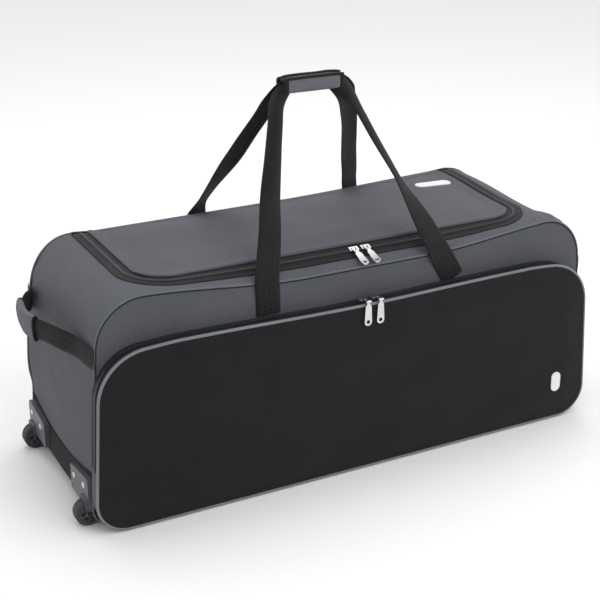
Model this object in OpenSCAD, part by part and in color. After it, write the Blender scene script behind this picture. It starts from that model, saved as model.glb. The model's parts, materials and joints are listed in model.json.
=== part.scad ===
/* [Body] */
// Length of the bag along its top edge
top_length = 1000; // [900:10:1100]
// Length of the bag along the floor
base_length = 1058; // [1000:2:1160]
// Depth of the main compartment
body_depth = 364; // [320:2:400]
// Height of the top panel above the floor
body_top = 423; // [390:1:450]
// Height of the underside of the base above the floor
base_clearance = 5; // [5:1:8]
// Radius of the four rounded corners of the end profile at the top
top_corner_r = 90; // [70:1:100]
// Radius of the rounded corners at the base
base_corner_r = 30; // [25:1:45]
// Height of the front seam, where the top slopes down to the front panel
front_seam_z = 404; // [385:1:410]
// Depth over which the top slopes down to the front seam
front_slope_run = 58; // [45:1:70]
// Thickness of the padded fabric walls
wall = 3; // [2:0.5:4]

/* [Lid] */
// Half of the distance between the two side legs of the lid zip
lid_zip_half = 410; // [380:2:410]
// Distance from the front seam to the front run of the lid zip
lid_zip_setback = 41; // [36:1:50]
// Corner radius of the lid zip
lid_zip_r = 75; // [60:1:95]
// Width of the woven zip tape on each side of the teeth
tape_w = 18; // [14:1:20]
// Distance from the back panel to the lid's hinge line
lid_hinge_inset = 13; // [10:1:20]

/* [Front pocket] */
// Depth of the front pocket
pocket_depth = 36; // [28:1:45]
// Height of the top of the pocket
pocket_top = 340; // [320:1:345]
// Height where the pocket zip ends and the flap folds down
pocket_fold_z = 124; // [100:1:140]
// Width of the corded piping round the pocket
piping_w = 6; // [4:0.5:6]

/* [Straps and handles] */
// Width of the carry strap webbing
strap_w = 50; // [40:1:55]
// Distance from the middle of the bag to each carry strap
strap_half = 192; // [170:2:220]
// How much closer to the middle the straps are sewn on the back panel
back_strap_inset = 16; // [0:1:20]
// Height of the middle of the carry grip
grip_z = 709; // [640:1:720]
// Length of the carry grip
grip_length = 120; // [110:2:160]
// How far the end handles stand out from the middle of the bag
end_handle_reach = 574; // [570:1:600]
// Width of the end handle webbing
end_web_w = 36; // [30:1:40]

/* [Wheels] */
// Radius of the wheels
wheel_r = 25; // [22:1:26]
// Width of the wheels
wheel_w = 22; // [18:1:24]
// Radius of the wheel axles
axle_r = 3; // [2.5:0.5:4]

/* [Hidden] */
$fn = 72;
fabric = [0.35, 0.36, 0.38];
black = [0.14, 0.14, 0.15];
web = [0.15, 0.15, 0.17];
piping_grey = [0.28, 0.29, 0.31];
plastic = [0.34, 0.33, 0.36];
metal = [0.78, 0.78, 0.77];
gap = 0.6;          // clearance between pieces that move apart
lap = 0.01;         // overrun of a cutting tool past the face it cuts

mid_shift = 19.4;   // sets the main compartment back so that the whole bag is centred on Y = 0
front_y = mid_shift - body_depth / 2;
back_y = front_y + body_depth;
mid_y = (front_y + back_y) / 2;
end_lean = atan((base_length - top_length) / 2 / body_top);
front_slope = atan((body_top - front_seam_z) / front_slope_run);
end_seam_x = top_length / 2 - 48;
cavity_floor = base_clearance + wall;

// Height of the sloping top above a given Y near the front
function slope_z(y) = front_seam_z + (y - front_y) * tan(front_slope);

lid_zip_y = front_y + lid_zip_setback;
lid_hinge_y = back_y - lid_hinge_inset;
lid_back_y = lid_hinge_y - 1.8;
coil_w = 3;
coil_h = 1.6;

pocket_y = front_y - pocket_depth;
pocket_bottom = 7;
pocket_half_base = base_length / 2 - 2;
pocket_mid_x = -6;
pocket_top_r = 92;
pocket_base_r = 56;
pocket_zip_y = (front_y + pocket_y) / 2;
pocket_tape_t = 2;

strap_t = 3;
strap_mid_x = 8;
grip_mid_x = -21;
patch_t = 4;
cord_w = 4;
front_strap_y = front_y - 2;
front_strap_z = front_seam_z + 6;
back_strap_y = back_y + 2;
back_strap_z = body_top + 7;
front_run_y = -19;
back_run_y = -6;
strap_gap = 3.6;
run_h = 20;
leg_top_w = 28;
grip_y0 = -30;
grip_y1 = 4;
grip_h = 36;
grip_r = 12;
grip_wall = 4;
grip_split_y = -14;

end_axis_z = 334;
end_bow_r = 160;
end_bow_a = 28;
end_bow_half = 124;

wheel_x = -base_length / 2 - 2;
wheel_inset = 24;
front_wheel_y = front_y + wheel_inset;
back_wheel_y = back_y - wheel_inset;
guard_face = base_length / 2 + 5;
guard_top = 96;
guard_w = 98;
guard_tilt = 7.5;
well_wall = 2;
rivet_z = 77;
rivet_dy = [26, 79];
rivet_r = 2.5;
band_dip_z = 82;
band_end_z = 108;
band_r = (pow(body_depth / 2, 2) + pow(band_end_z - band_dip_z, 2)) / 2 / (band_end_z - band_dip_z);
runner_y = [-118, 0, 118];

// ---------- shared shapes ----------

// Extrudes a shape drawn in X and Z from one Y to another
module along_y(y0, y1) {
    translate([0, y1, 0]) rotate([90, 0, 0]) linear_extrude(y1 - y0) children();
}

// Extrudes a shape drawn in Y and Z from one X to another
module along_x(x0, x1) {
    translate([x0, 0, 0]) rotate([90, 0, 90]) linear_extrude(x1 - x0) children();
}

// A box between two corners
module box(lo, hi) {
    translate(lo) cube(hi - lo);
}

// Half length of an outline at a height: its ends lean in towards the top
function half_at(base_half, z) = base_half - z * tan(end_lean);
function corner(base_half, z, r) = [half_at(base_half, z) - r / cos(end_lean), z];
function side_point(c, r) = c + r * [cos(end_lean), sin(end_lean)];

// End-to-end outline with four round corners and leaning ends, moved in by inset
module outline(base_half, z0, z1, r0, r1, inset = 0) {
    half = base_half - inset / cos(end_lean);
    low = corner(half, z0 + r0, r0 - inset);
    high = corner(half, z1 - r1, r1 - inset);
    side_low = side_point(low, r0 - inset);
    side_high = side_point(high, r1 - inset);
    for (s = [-1, 1]) translate([s * low.x, low.y]) circle(r0 - inset);
    for (s = [-1, 1]) translate([s * high.x, high.y]) circle(r1 - inset);
    polygon([
        [low.x, z0 + inset], side_low, side_high, [high.x, z1 - inset],
        [-high.x, z1 - inset], [-side_high.x, side_high.y],
        [-side_low.x, side_low.y], [-low.x, z0 + inset]]);
}

module body_outline(inset = 0) {
    outline(base_length / 2, base_clearance, body_top, base_corner_r, top_corner_r, inset);
}

module pocket_outline(inset = 0) {
    translate([pocket_mid_x, 0])
        outline(pocket_half_base, pocket_bottom, pocket_top, pocket_base_r, pocket_top_r, inset);
}

// Everything above the sloping front of the top, moved down by inset
module above_slope(inset = 0) {
    drop = inset / cos(front_slope);
    far_y = back_y + 5;
    along_x(-base_length, base_length)
        polygon([
            [front_y - 5, slope_z(front_y - 5) - drop], [far_y, slope_z(far_y) - drop],
            [far_y, body_top + 200], [front_y - 5, body_top + 200]]);
}

// The bag's outer form moved in by inset, between two Y planes
module body_form(inset, y0, y1) {
    difference() {
        along_y(y0, y1) body_outline(inset);
        above_slope(inset);
    }
}

// The wall that runs round the bag between the front and back panels
module body_wall(out = 0) {
    difference() {
        body_form(-out, front_y + wall, back_y - wall);
        body_form(wall, front_y, back_y);
    }
}

// Plan shape of the lid: straight sides and back, two round front corners; grow moves the zip line out
module lid_plan(grow, y_back) {
    half = lid_zip_half + grow;
    r = lid_zip_r + grow;
    y0 = lid_zip_y - grow;
    for (s = [-1, 1]) translate([s * (half - r), y0 + r]) circle(r);
    translate([-half, y0 + r]) square([2 * half, y_back - y0 - r]);
    translate([r - half, y0]) square([2 * (half - r), r + lap]);
}

module lid_prism(grow, y_back) {
    translate([0, 0, front_seam_z - 60]) linear_extrude(120) lid_plan(grow, y_back);
}

// Everything below the curved seam of the dark base band on the wheel end
module below_band() {
    difference() {
        box([-base_length, front_y - 5, -5], [-end_seam_x + 60, back_y + 5, band_end_z + 20]);
        translate([0, mid_y, band_dip_z + band_r]) rotate([0, 90, 0])
            cylinder(h = 2 * base_length + 4, r = band_r, center = true, $fn = 180);
    }
}

// Height of a rivet at a distance from the front or back panel: the guards tilt down towards the middle
function rivet_height(dy) = rivet_z - (dy - rivet_dy[0]) * tan(guard_tilt);

// Holes or shanks for the four rivets of the wheel guards, along X
module rivet_row(x0, x1, r) {
    for (dy = rivet_dy)
        for (y = [front_y + dy, back_y - dy])
            translate([x0, y, rivet_height(dy)]) rotate([0, 90, 0]) cylinder(h = x1 - x0, r = r, $fn = 32);
}

// Room for a wheel, open downwards, grown by the wall of its well
module wheel_room(wheel_y, grow) {
    r = wheel_r + 2 + grow;
    reach = wheel_w / 2 + 1 + grow;
    along_y(wheel_y - reach, wheel_y + reach) union() {
        translate([wheel_x, wheel_r]) circle(r);
        translate([wheel_x - r, -5]) square([2 * r, wheel_r + 5]);
    }
}

function front_strap_x(side) = strap_mid_x + side * strap_half;
function back_strap_x(side) = strap_mid_x + 4 + side * (strap_half - back_strap_inset);

// Room that a strap patch takes across the seams
module strap_room(x, y0, y1) {
    box([x - strap_w / 2, y0, pocket_top], [x + strap_w / 2, y1, body_top + 40]);
}

// ---------- main bag ----------

module front_panel() {
    color(fabric) body_form(0, front_y, front_y + wall);
}

module back_panel() {
    color(fabric) body_form(0, back_y - wall, back_y);
}

module left_end_panel() {
    color(fabric) difference() {
        intersection() {
            body_wall();
            box([-base_length, front_y, base_clearance], [-end_seam_x, back_y, body_top + 5]);
        }
        below_band();
        rivet_row(-base_length, -end_seam_x, rivet_r);
    }
}

module right_end_panel() {
    color(fabric) intersection() {
        body_wall();
        box([end_seam_x, front_y, base_clearance + base_corner_r], [base_length, back_y, body_top + 5]);
    }
}

module base_panel() {
    color(black) difference() {
        intersection() {
            body_wall();
            union() {
                intersection() {
                    below_band();
                    box([-base_length, front_y, 0], [-end_seam_x, back_y, body_top]);
                }
                box([-end_seam_x, front_y, 0], [base_length, back_y, base_clearance + base_corner_r]);
            }
        }
        rivet_row(-base_length, -end_seam_x, rivet_r);
        for (y = [front_wheel_y, back_wheel_y]) wheel_room(y, well_wall + 0.3);
    }
}

module top_surround() {
    color(fabric) difference() {
        intersection() {
            body_wall();
            box([-end_seam_x, front_y, front_seam_z - 40], [end_seam_x, back_y, body_top + 5]);
        }
        lid_prism(tape_w, lid_hinge_y - lap);
    }
}

// Corded seam round the front or back of the main compartment, on the outside of the wall
module seam_cord(y0, y1) {
    difference() {
        body_form(-cord_w, y0, y1);
        body_form(0, y0 - lap, y1 + lap);
    }
}

module front_piping() {
    color(piping_grey) difference() {
        seam_cord(front_y, front_y + cord_w);
        for (s = [-1, 1]) strap_room(front_strap_x(s), front_y - 5, front_y + 5);
    }
}

module back_piping() {
    color(piping_grey) difference() {
        seam_cord(back_y - cord_w, back_y);
        for (s = [-1, 1]) strap_room(back_strap_x(s), back_y - 5, back_y + 5);
    }
}

// Body side of the lid zip: woven tape with half of the teeth standing on its edge
module body_zip_half() {
    color(black) union() {
        difference() {
            intersection() {
                body_wall();
                lid_prism(tape_w, lid_hinge_y - lap);
            }
            lid_prism(gap / 2, lid_hinge_y);
        }
        difference() {
            intersection() {
                body_wall(coil_h);
                lid_prism(coil_w, lid_back_y);
            }
            lid_prism(gap / 2, lid_hinge_y);
        }
    }
}

// Short tabs that close the two rear ends of the lid zip
module zip_end_tabs() {
    color(web) for (s = [-1, 1])
        box([s * lid_zip_half - 12, lid_hinge_y + 0.5, body_top],
            [s * lid_zip_half + 12, back_y - cord_w - gap, body_top + 2]);
}

// ---------- front pocket, fixed part ----------

module pocket_wall(y0, y1, z0, z1, thick) {
    intersection() {
        along_y(y0, y1) difference() {
            pocket_outline(0);
            pocket_outline(thick);
        }
        box([-base_length, pocket_y - 1, z0], [base_length, front_y + 1, z1]);
    }
}

module pocket_gusset() {
    color(fabric) pocket_wall(pocket_y + wall, front_y, 0, pocket_fold_z - gap, wall);
}

module pocket_lower_panel() {
    color(black) intersection() {
        along_y(pocket_y, pocket_y + wall) pocket_outline(0);
        box([-base_length, pocket_y - 1, 0], [base_length, front_y, pocket_fold_z - gap]);
    }
}

module pocket_zip_body_half() {
    color(black) union() {
        pocket_wall(pocket_zip_y + gap / 2, front_y, pocket_fold_z - gap, body_top, pocket_tape_t);
        intersection() {
            along_y(pocket_zip_y + gap / 2, pocket_zip_y + coil_w) difference() {
                pocket_outline(-coil_h);
                pocket_outline(pocket_tape_t);
            }
            box([-base_length, pocket_y, pocket_fold_z - gap], [base_length, front_y, body_top]);
        }
    }
}

module pocket_piping() {
    along_y(pocket_y, pocket_y + piping_w) difference() {
        pocket_outline(-piping_w);
        pocket_outline(0);
    }
}

module pocket_lower_piping() {
    color(piping_grey) intersection() {
        pocket_piping();
        box([-base_length, pocket_y - 1, 0], [base_length, front_y, pocket_fold_z - gap]);
    }
}

// Plain blank badge near the lower right corner of the pocket
module pocket_badge() {
    color(metal) translate([443, pocket_y - 0.8, 88]) rotate([-90, 0, 0]) linear_extrude(0.8) union() {
        square([22, 20], center = true);
        for (s = [-1, 1]) translate([0, s * 10]) circle(11);
    }
}

// ---------- stiffeners, runners and wheel gear ----------

module base_board() {
    color(black) box(
        [-half_at(base_length / 2, 0) + base_corner_r + 12, front_y + wall + 4, cavity_floor],
        [half_at(base_length / 2, 0) - base_corner_r - 12, back_y - wall - 4, cavity_floor + 3]);
}

module end_board() {
    color(black) difference() {
        intersection() {
            along_y(front_y + wall + 2, back_y - wall - 2) difference() {
                body_outline(wall);
                body_outline(wall * 2);
            }
            box([-base_length, front_y, wheel_r * 2 + 12], [-end_seam_x, back_y, 135]);
        }
        rivet_row(-base_length, -end_seam_x, rivet_r);
    }
}

// Flat moulded runner under the base
module runner(y) {
    color(plastic) box([-430, y - 12, 0], [440, y + 12, base_clearance]);
}

// Outline of a guard's face plate, drawn in Y and Z, tilted down towards the middle of the bag
module guard_plate(y_corner, way, inset) {
    corner_r = 9;
    r = corner_r - inset;
    outer = [y_corner + way * (4 + corner_r), guard_top - corner_r];
    run = guard_w - 2 * corner_r;
    inner = outer + [way * run, -run * tan(guard_tilt)];
    up = r * [way * sin(guard_tilt), cos(guard_tilt)];
    for (c = [outer, inner]) translate(c) circle(r);
    polygon([
        [outer.x - way * r, 34 + inset], [outer.x - way * r, outer.y], outer + up,
        inner + up, [inner.x + way * r, inner.y], [inner.x + way * r, 34 + inset]]);
}

// Outline of the fork that carries the axle, drawn in X and Z
module fork_side() {
    edge = wheel_x + 12;
    intersection() {
        translate([wheel_x, wheel_r]) circle(wheel_r + 2 + well_wall);
        union() {
            translate([edge, base_clearance]) square([60, 60]);
            translate([wheel_x, wheel_r - 7]) square([20, 14]);
            translate([wheel_x, wheel_r]) circle(7);
        }
    }
}

// Rim over the wheel and the well behind it, which passes up through the base
module wheel_well(wheel_y) {
    reach = wheel_w / 2 + 1 + well_wall;
    intersection() {
        difference() {
            wheel_room(wheel_y, well_wall);
            wheel_room(wheel_y, 0);
        }
        union() {
            along_y(wheel_y - reach, wheel_y + reach) fork_side();
            box([-guard_face - 5, wheel_y - reach, wheel_r + 8],
                [wheel_x + 40, wheel_y + reach, wheel_r * 2 + 10]);
        }
    }
}

// Moulded housing on the wheel-end corner: riveted face plate, rim, wheel well and fork
module wheel_guard(y_corner, way) {
    wheel_y = y_corner + way * wheel_inset;
    lo = min(y_corner + way * 4, y_corner + way * (4 + guard_w));
    color(plastic) difference() {
        union() {
            difference() {
                along_x(-guard_face, -base_length / 2 + 20) guard_plate(y_corner, way, 0);
                difference() {
                    box([-guard_face + 3, lo + 3, 20], [0, lo + guard_w - 3, guard_top]);
                    along_x(-guard_face, 0) difference() {
                        guard_plate(y_corner, way, 0);
                        guard_plate(y_corner, way, 3);
                    }
                    for (dy = rivet_dy)
                        translate([-base_length, y_corner + way * dy, rivet_height(dy)]) rotate([0, 90, 0])
                            cylinder(h = base_length, r = 7, $fn = 32);
                }
                along_y(front_y - 1, back_y + 1) body_outline(0);
            }
            wheel_well(wheel_y);
        }
        wheel_room(wheel_y, 0);
        rivet_row(-base_length, 0, rivet_r);
        translate([wheel_x, wheel_y, wheel_r]) rotate([90, 0, 0])
            cylinder(h = wheel_w * 3, r = axle_r, center = true, $fn = 32);
    }
}

// Axle pin with a low head at each end
module axle(wheel_y) {
    reach = wheel_w / 2 + 4;
    color(metal) translate([wheel_x, wheel_y, wheel_r]) rotate([90, 0, 0]) union() {
        cylinder(h = 2 * reach, r = axle_r, center = true, $fn = 32);
        for (s = [-1, 1]) translate([0, 0, s * (reach + 0.8)])
            cylinder(h = 1.6, r = 5, center = true, $fn = 32);
    }
}

module rivets() {
    color(metal) union() {
        rivet_row(-guard_face - lap, -half_at(base_length / 2, rivet_z) + 2 * wall + 3, rivet_r);
        rivet_row(-guard_face - 1.8, -guard_face, 5.5);
    }
}

module rivet_washers() {
    x0 = -half_at(base_length / 2, rivet_z) + 2 * wall + 1.5;
    color(metal) difference() {
        rivet_row(x0, x0 + 1.5, 8);
        rivet_row(x0 - 1, x0 + 3, rivet_r);
    }
}

// ---------- lid ----------

module lid_panel() {
    color(fabric) intersection() {
        body_wall();
        lid_prism(-tape_w, lid_back_y);
    }
}

module lid_zip_half() {
    color(black) union() {
        difference() {
            intersection() {
                body_wall();
                lid_prism(-gap / 2, lid_back_y);
            }
            lid_prism(-tape_w, body_top);
        }
        difference() {
            intersection() {
                body_wall(coil_h);
                lid_prism(-gap / 2, lid_back_y);
            }
            lid_prism(-coil_w, body_top);
        }
    }
}

// Plain blank badge sewn on the lid
module lid_badge() {
    color(metal) translate([334, 110, body_top]) linear_extrude(0.8) union() {
        square([58, 26], center = true);
        for (s = [-1, 1]) translate([s * 29, 0]) circle(13);
    }
}

// ---------- front pocket, folding part ----------

module above_fold() {
    box([-base_length, pocket_y - 1, pocket_fold_z], [base_length, front_y, body_top]);
}

module pocket_flap() {
    color(black) intersection() {
        along_y(pocket_y, pocket_y + wall) pocket_outline(0);
        above_fold();
    }
}

module flap_zip_half() {
    color(black) intersection() {
        union() {
            along_y(pocket_y + wall, pocket_zip_y - gap / 2) difference() {
                pocket_outline(0);
                pocket_outline(pocket_tape_t);
            }
            along_y(pocket_zip_y - coil_w, pocket_zip_y - gap / 2) difference() {
                pocket_outline(-coil_h);
                pocket_outline(pocket_tape_t);
            }
        }
        above_fold();
    }
}

module flap_piping() {
    color(piping_grey) intersection() {
        pocket_piping();
        above_fold();
    }
}

// ---------- carry handles ----------

// One strap as a flat blade in its own plane: X across the bag, Y up the strap; feet are its two X places
module strap_blade(length, feet) {
    half_run = grip_length / 2 + 2 + leg_top_w;
    top = length + run_h / 2;
    bottom = length - run_h / 2;
    left = grip_mid_x - half_run;
    right = grip_mid_x + half_run;
    polygon([
        [feet[0] - strap_w / 2, strap_gap], [left, length], [left, top],
        [right, top], [right, length], [feet[1] + strap_w / 2, strap_gap],
        [feet[1] - strap_w / 2, strap_gap], [right - leg_top_w, bottom],
        [left + leg_top_w, bottom], [feet[0] + strap_w / 2, strap_gap]]);
}

// Puts a strap drawn flat on its pivot line and leans it towards the run inside the grip
module strap_at(y, z, run_y, feet) {
    translate([0, y, z]) rotate([90 - atan2(run_y - y, grip_z - z), 0, 0])
        translate([0, 0, -strap_t / 2]) linear_extrude(strap_t)
            strap_blade(norm([run_y - y, grip_z - z]), feet);
}

module front_strap() {
    color(web) strap_at(front_strap_y, front_strap_z, front_run_y, [front_strap_x(-1), front_strap_x(1)]);
}

module back_strap() {
    color(web) strap_at(back_strap_y, back_strap_z, back_run_y, [back_strap_x(-1), back_strap_x(1)]);
}

// Section of the padded carry grip, drawn in Y and Z
module grip_section(inset, y0, y1) {
    r = grip_r - inset;
    half = grip_h / 2 - inset;
    flat = grip_h / 2 - grip_r;
    intersection() {
        union() {
            for (y = [grip_y0 + grip_r, grip_y1 - grip_r])
                for (s = [-1, 1]) translate([y, grip_z + s * flat]) circle(r);
            translate([grip_y0 + inset, grip_z - flat]) square([grip_y1 - grip_y0 - 2 * inset, 2 * flat]);
            translate([grip_y0 + grip_r, grip_z - half]) square([grip_y1 - grip_y0 - 2 * grip_r, 2 * half]);
        }
        translate([y0, grip_z - grip_h]) square([y1 - y0, 2 * grip_h]);
    }
}

module grip_wrap() {
    color(fabric) along_x(grip_mid_x - grip_length / 2, grip_mid_x + grip_length / 2) difference() {
        grip_section(0, grip_y0, grip_split_y);
        grip_section(grip_wall, grip_y0, grip_split_y + 1);
    }
}

module grip_closure() {
    color(fabric) along_x(grip_mid_x - grip_length / 2, grip_mid_x + grip_length / 2) difference() {
        grip_section(0, grip_split_y + 1, grip_y1);
        grip_section(grip_wall - 1, grip_split_y, grip_y1);
    }
}

// Stitched end of a carry strap, standing on the front or back panel
module strap_patch(x, y0, z0, z1) {
    color(web) box([x - strap_w / 2, y0, z0], [x + strap_w / 2, y0 + patch_t, z1]);
}

module front_patch(side) {
    strap_patch(front_strap_x(side), front_y - patch_t, pocket_top + 6, front_strap_z - strap_gap);
}

module back_patch(side) {
    strap_patch(back_strap_x(side), back_y, body_top - 60, back_strap_z - strap_gap);
}

// ---------- end handles ----------

bow_x = end_handle_reach - end_bow_r;
bow_end_x = bow_x + end_bow_r * cos(end_bow_a);
bow_end_y = end_bow_r * sin(end_bow_a);

// Plan of the bowed webbing on the right end, thick each side of its line
module bow_plan(thick) {
    intersection() {
        translate([bow_x, 0]) difference() {
            circle(end_bow_r + thick, $fn = 144);
            circle(end_bow_r - thick, $fn = 144);
        }
        translate([bow_x, 0]) polygon([[0, 0], 400 * [cos(end_bow_a), sin(end_bow_a)], [400, 0],
            400 * [cos(end_bow_a), -sin(end_bow_a)]]);
    }
}

// Straight webbing from the end of the bow to the hinge line, drawn in plan
module bow_leg(thick) {
    run = end_bow_half - bow_end_y;
    n = thick * [cos(end_bow_a), sin(end_bow_a)];
    tip = [bow_end_x - run * tan(end_bow_a), end_bow_half];
    polygon([[bow_end_x, bow_end_y] + n, [bow_end_x, bow_end_y] - n,
        tip - [thick / cos(end_bow_a), 0], tip + [thick / cos(end_bow_a), 0]]);
}

function hinge_tip_x() = bow_end_x - (end_bow_half - bow_end_y) * tan(end_bow_a);

module handle_web_plan() {
    bow_plan(strap_t / 2);
    bow_leg(strap_t / 2);
    mirror([0, 1]) bow_leg(strap_t / 2);
}

module end_handle_web(side) {
    color(web) translate([0, mid_y, end_axis_z - end_web_w / 2]) mirror([side < 0 ? 1 : 0, 0, 0])
        linear_extrude(end_web_w) handle_web_plan();
}

module end_handle_pad(side) {
    pad_h = end_web_w + 10;
    color(fabric) translate([0, mid_y, end_axis_z - pad_h / 2]) mirror([side < 0 ? 1 : 0, 0, 0])
    difference() {
        linear_extrude(pad_h) intersection() {
            bow_plan(4.5);
            translate([bow_x, -58]) square([end_bow_r * 2, 116]);
        }
        translate([0, 0, 5]) linear_extrude(end_web_w) bow_plan(strap_t / 2);
    }
}

// Sewn ends of an end handle, from the front and back seams out to the hinge line
module end_tabs(side) {
    wall_x = half_at(base_length / 2, end_axis_z) + 5;
    start = body_depth / 2 - 8;
    x0 = hinge_tip_x();
    color(web) translate([0, mid_y, end_axis_z - end_web_w / 2]) mirror([side < 0 ? 1 : 0, 0, 0])
        linear_extrude(end_web_w) for (s = [-1, 1])
            polygon([
                [x0 - strap_t / 2, s * (end_bow_half + gap)], [x0 + strap_t / 2, s * (end_bow_half + gap)],
                [wall_x + strap_t / 2, s * start], [wall_x - strap_t / 2, s * start]]);
}

// ---------- wheels ----------

module tyre(wheel_y) {
    color(black) translate([wheel_x, wheel_y, wheel_r]) rotate([90, 0, 0]) rotate_extrude() difference() {
        union() {
            translate([17, -wheel_w / 2]) square([wheel_r - 17 - 3, wheel_w]);
            translate([17, -wheel_w / 2 + 3]) square([wheel_r - 17, wheel_w - 6]);
            for (s = [-1, 1]) translate([wheel_r - 3, s * (wheel_w / 2 - 3)]) circle(3, $fn = 32);
        }
    }
}

module hub(wheel_y) {
    color(plastic) translate([wheel_x, wheel_y, wheel_r]) rotate([90, 0, 0]) difference() {
        cylinder(h = wheel_w - 2, r = 17, center = true);
        cylinder(h = wheel_w + 2, r = axle_r + 0.06, center = true, $fn = 48);
        for (s = [-1, 1]) for (k = [0:5]) rotate([0, 0, k * 60])
            translate([11, 0, s * (wheel_w / 2 - 3)]) cylinder(h = 5, r = 3.6, center = true, $fn = 24);
    }
}

// ---------- zip sliders and pulls ----------

pull_pin_r = 1.3;
pull_eye_r = 2.6;
pull_end_r = 7.6;
lid_slider_x = [12, 37];
pocket_slider_x = [-1, 25];
slider_l = 18;
slider_w = 11;

// Slider body over the zip teeth; arm is how far in front of the teeth the pull's pin lies
module slider(arm, pin_h) {
    color(metal) union() {
        translate([-slider_l / 2, -slider_w / 2, coil_h + 0.5]) cube([slider_l, slider_w, 3]);
        for (s = [-1, 1]) translate([s * 4.2 - 0.9, -arm, pin_h - 1.2]) cube([1.8, arm + 3, 2.4]);
        for (s = [-1, 1]) translate([s * 4.2 - 0.9, -3, coil_h + 0.6]) cube([1.8, 6, pin_h - coil_h]);
        for (s = [-1, 1]) translate([s * 4.2 - 0.9, -arm, pin_h]) rotate([0, 90, 0])
            cylinder(h = 1.8, r = 2.3, $fn = 32);
        translate([-5.1, -arm, pin_h]) rotate([0, 90, 0]) cylinder(h = 10.2, r = pull_pin_r, $fn = 32);
    }
}

// Pull tab drawn lying along -Y from its pin
module pull(length) {
    color(metal) difference() {
        union() {
            translate([-3, 0, 0]) rotate([0, 90, 0]) cylinder(h = 6, r = pull_eye_r, $fn = 32);
            translate([0, 0, -1]) linear_extrude(2) union() {
                polygon([
                    [-2.8, 0], [2.8, 0], [2.8, -4], [6, -9], [pull_end_r, pull_end_r - length],
                    [-pull_end_r, pull_end_r - length], [-6, -9], [-2.8, -4]]);
                translate([0, pull_end_r - length]) circle(pull_end_r, $fn = 48);
            }
        }
        translate([-4, 0, 0]) rotate([0, 90, 0]) cylinder(h = 8, r = pull_pin_r + 0.08, $fn = 32);
        translate([0, pull_end_r - length, -2]) cylinder(h = 4, r = 3.6, $fn = 32);
    }
}

lid_pin_arm = 9;
lid_pin_h = 6.2;
pocket_pin_arm = pocket_zip_y - pocket_y + 4.2;
pocket_pin_h = 7.6;
pull_l = 42;

// Local place of the lid zip's front run: X along the zip, Z square to the sloping top
module on_lid_zip(x) {
    translate([x, lid_zip_y, slope_z(lid_zip_y)]) rotate([front_slope, 0, 0]) children();
}

module on_pocket_zip(x) {
    translate([x, pocket_zip_y, pocket_top]) children();
}

module lid_slider(x) {
    on_lid_zip(x) slider(lid_pin_arm, lid_pin_h);
}

module pocket_slider(x) {
    on_pocket_zip(x) slider(pocket_pin_arm, pocket_pin_h);
}

module lid_pull(x) {
    on_lid_zip(x) translate([0, -lid_pin_arm, lid_pin_h]) pull(pull_l);
}

module pocket_pull(x) {
    on_pocket_zip(x) translate([0, -pocket_pin_arm, pocket_pin_h]) rotate([90, 0, 0]) pull(pull_l + 5);
}

front_panel();
back_panel();
left_end_panel();
right_end_panel();
base_panel();
top_surround();
front_piping();
back_piping();
body_zip_half();
zip_end_tabs();
pocket_gusset();
pocket_lower_panel();
pocket_zip_body_half();
pocket_lower_piping();
pocket_badge();
base_board();
end_board();
runner(runner_y[0]);  // runner_front
runner(runner_y[1]);  // runner_middle
runner(runner_y[2]);  // runner_back
wheel_guard(front_y, 1);  // wheel_guard_front
wheel_guard(back_y, -1);  // wheel_guard_back
axle(front_wheel_y);  // axle_front
axle(back_wheel_y);  // axle_back
rivets();
rivet_washers();
front_patch(-1);  // strap_patch_front_left
front_patch(1);  // strap_patch_front_right
back_patch(-1);  // strap_patch_back_left
back_patch(1);  // strap_patch_back_right
end_tabs(-1);  // end_tabs_left
end_tabs(1);  // end_tabs_right
lid_panel();
lid_zip_half();
lid_badge();
pocket_flap();
flap_zip_half();
flap_piping();
front_strap();
grip_wrap();
back_strap();
grip_closure();
end_handle_web(-1);  // left_handle_web
end_handle_pad(-1);  // left_handle_pad
end_handle_web(1);  // right_handle_web
end_handle_pad(1);  // right_handle_pad
tyre(front_wheel_y);  // tyre_front
hub(front_wheel_y);  // hub_front
tyre(back_wheel_y);  // tyre_back
hub(back_wheel_y);  // hub_back
lid_slider(lid_slider_x[0]);  // lid_slider_left
lid_slider(lid_slider_x[1]);  // lid_slider_right
pocket_slider(pocket_slider_x[0]);  // pocket_slider_left
pocket_slider(pocket_slider_x[1]);  // pocket_slider_right
lid_pull(lid_slider_x[0]);  // lid_pull_left
lid_pull(lid_slider_x[1]);  // lid_pull_right
pocket_pull(pocket_slider_x[0]);  // pocket_pull_left
pocket_pull(pocket_slider_x[1]);  // pocket_pull_right
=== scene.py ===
import json
import math

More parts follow.
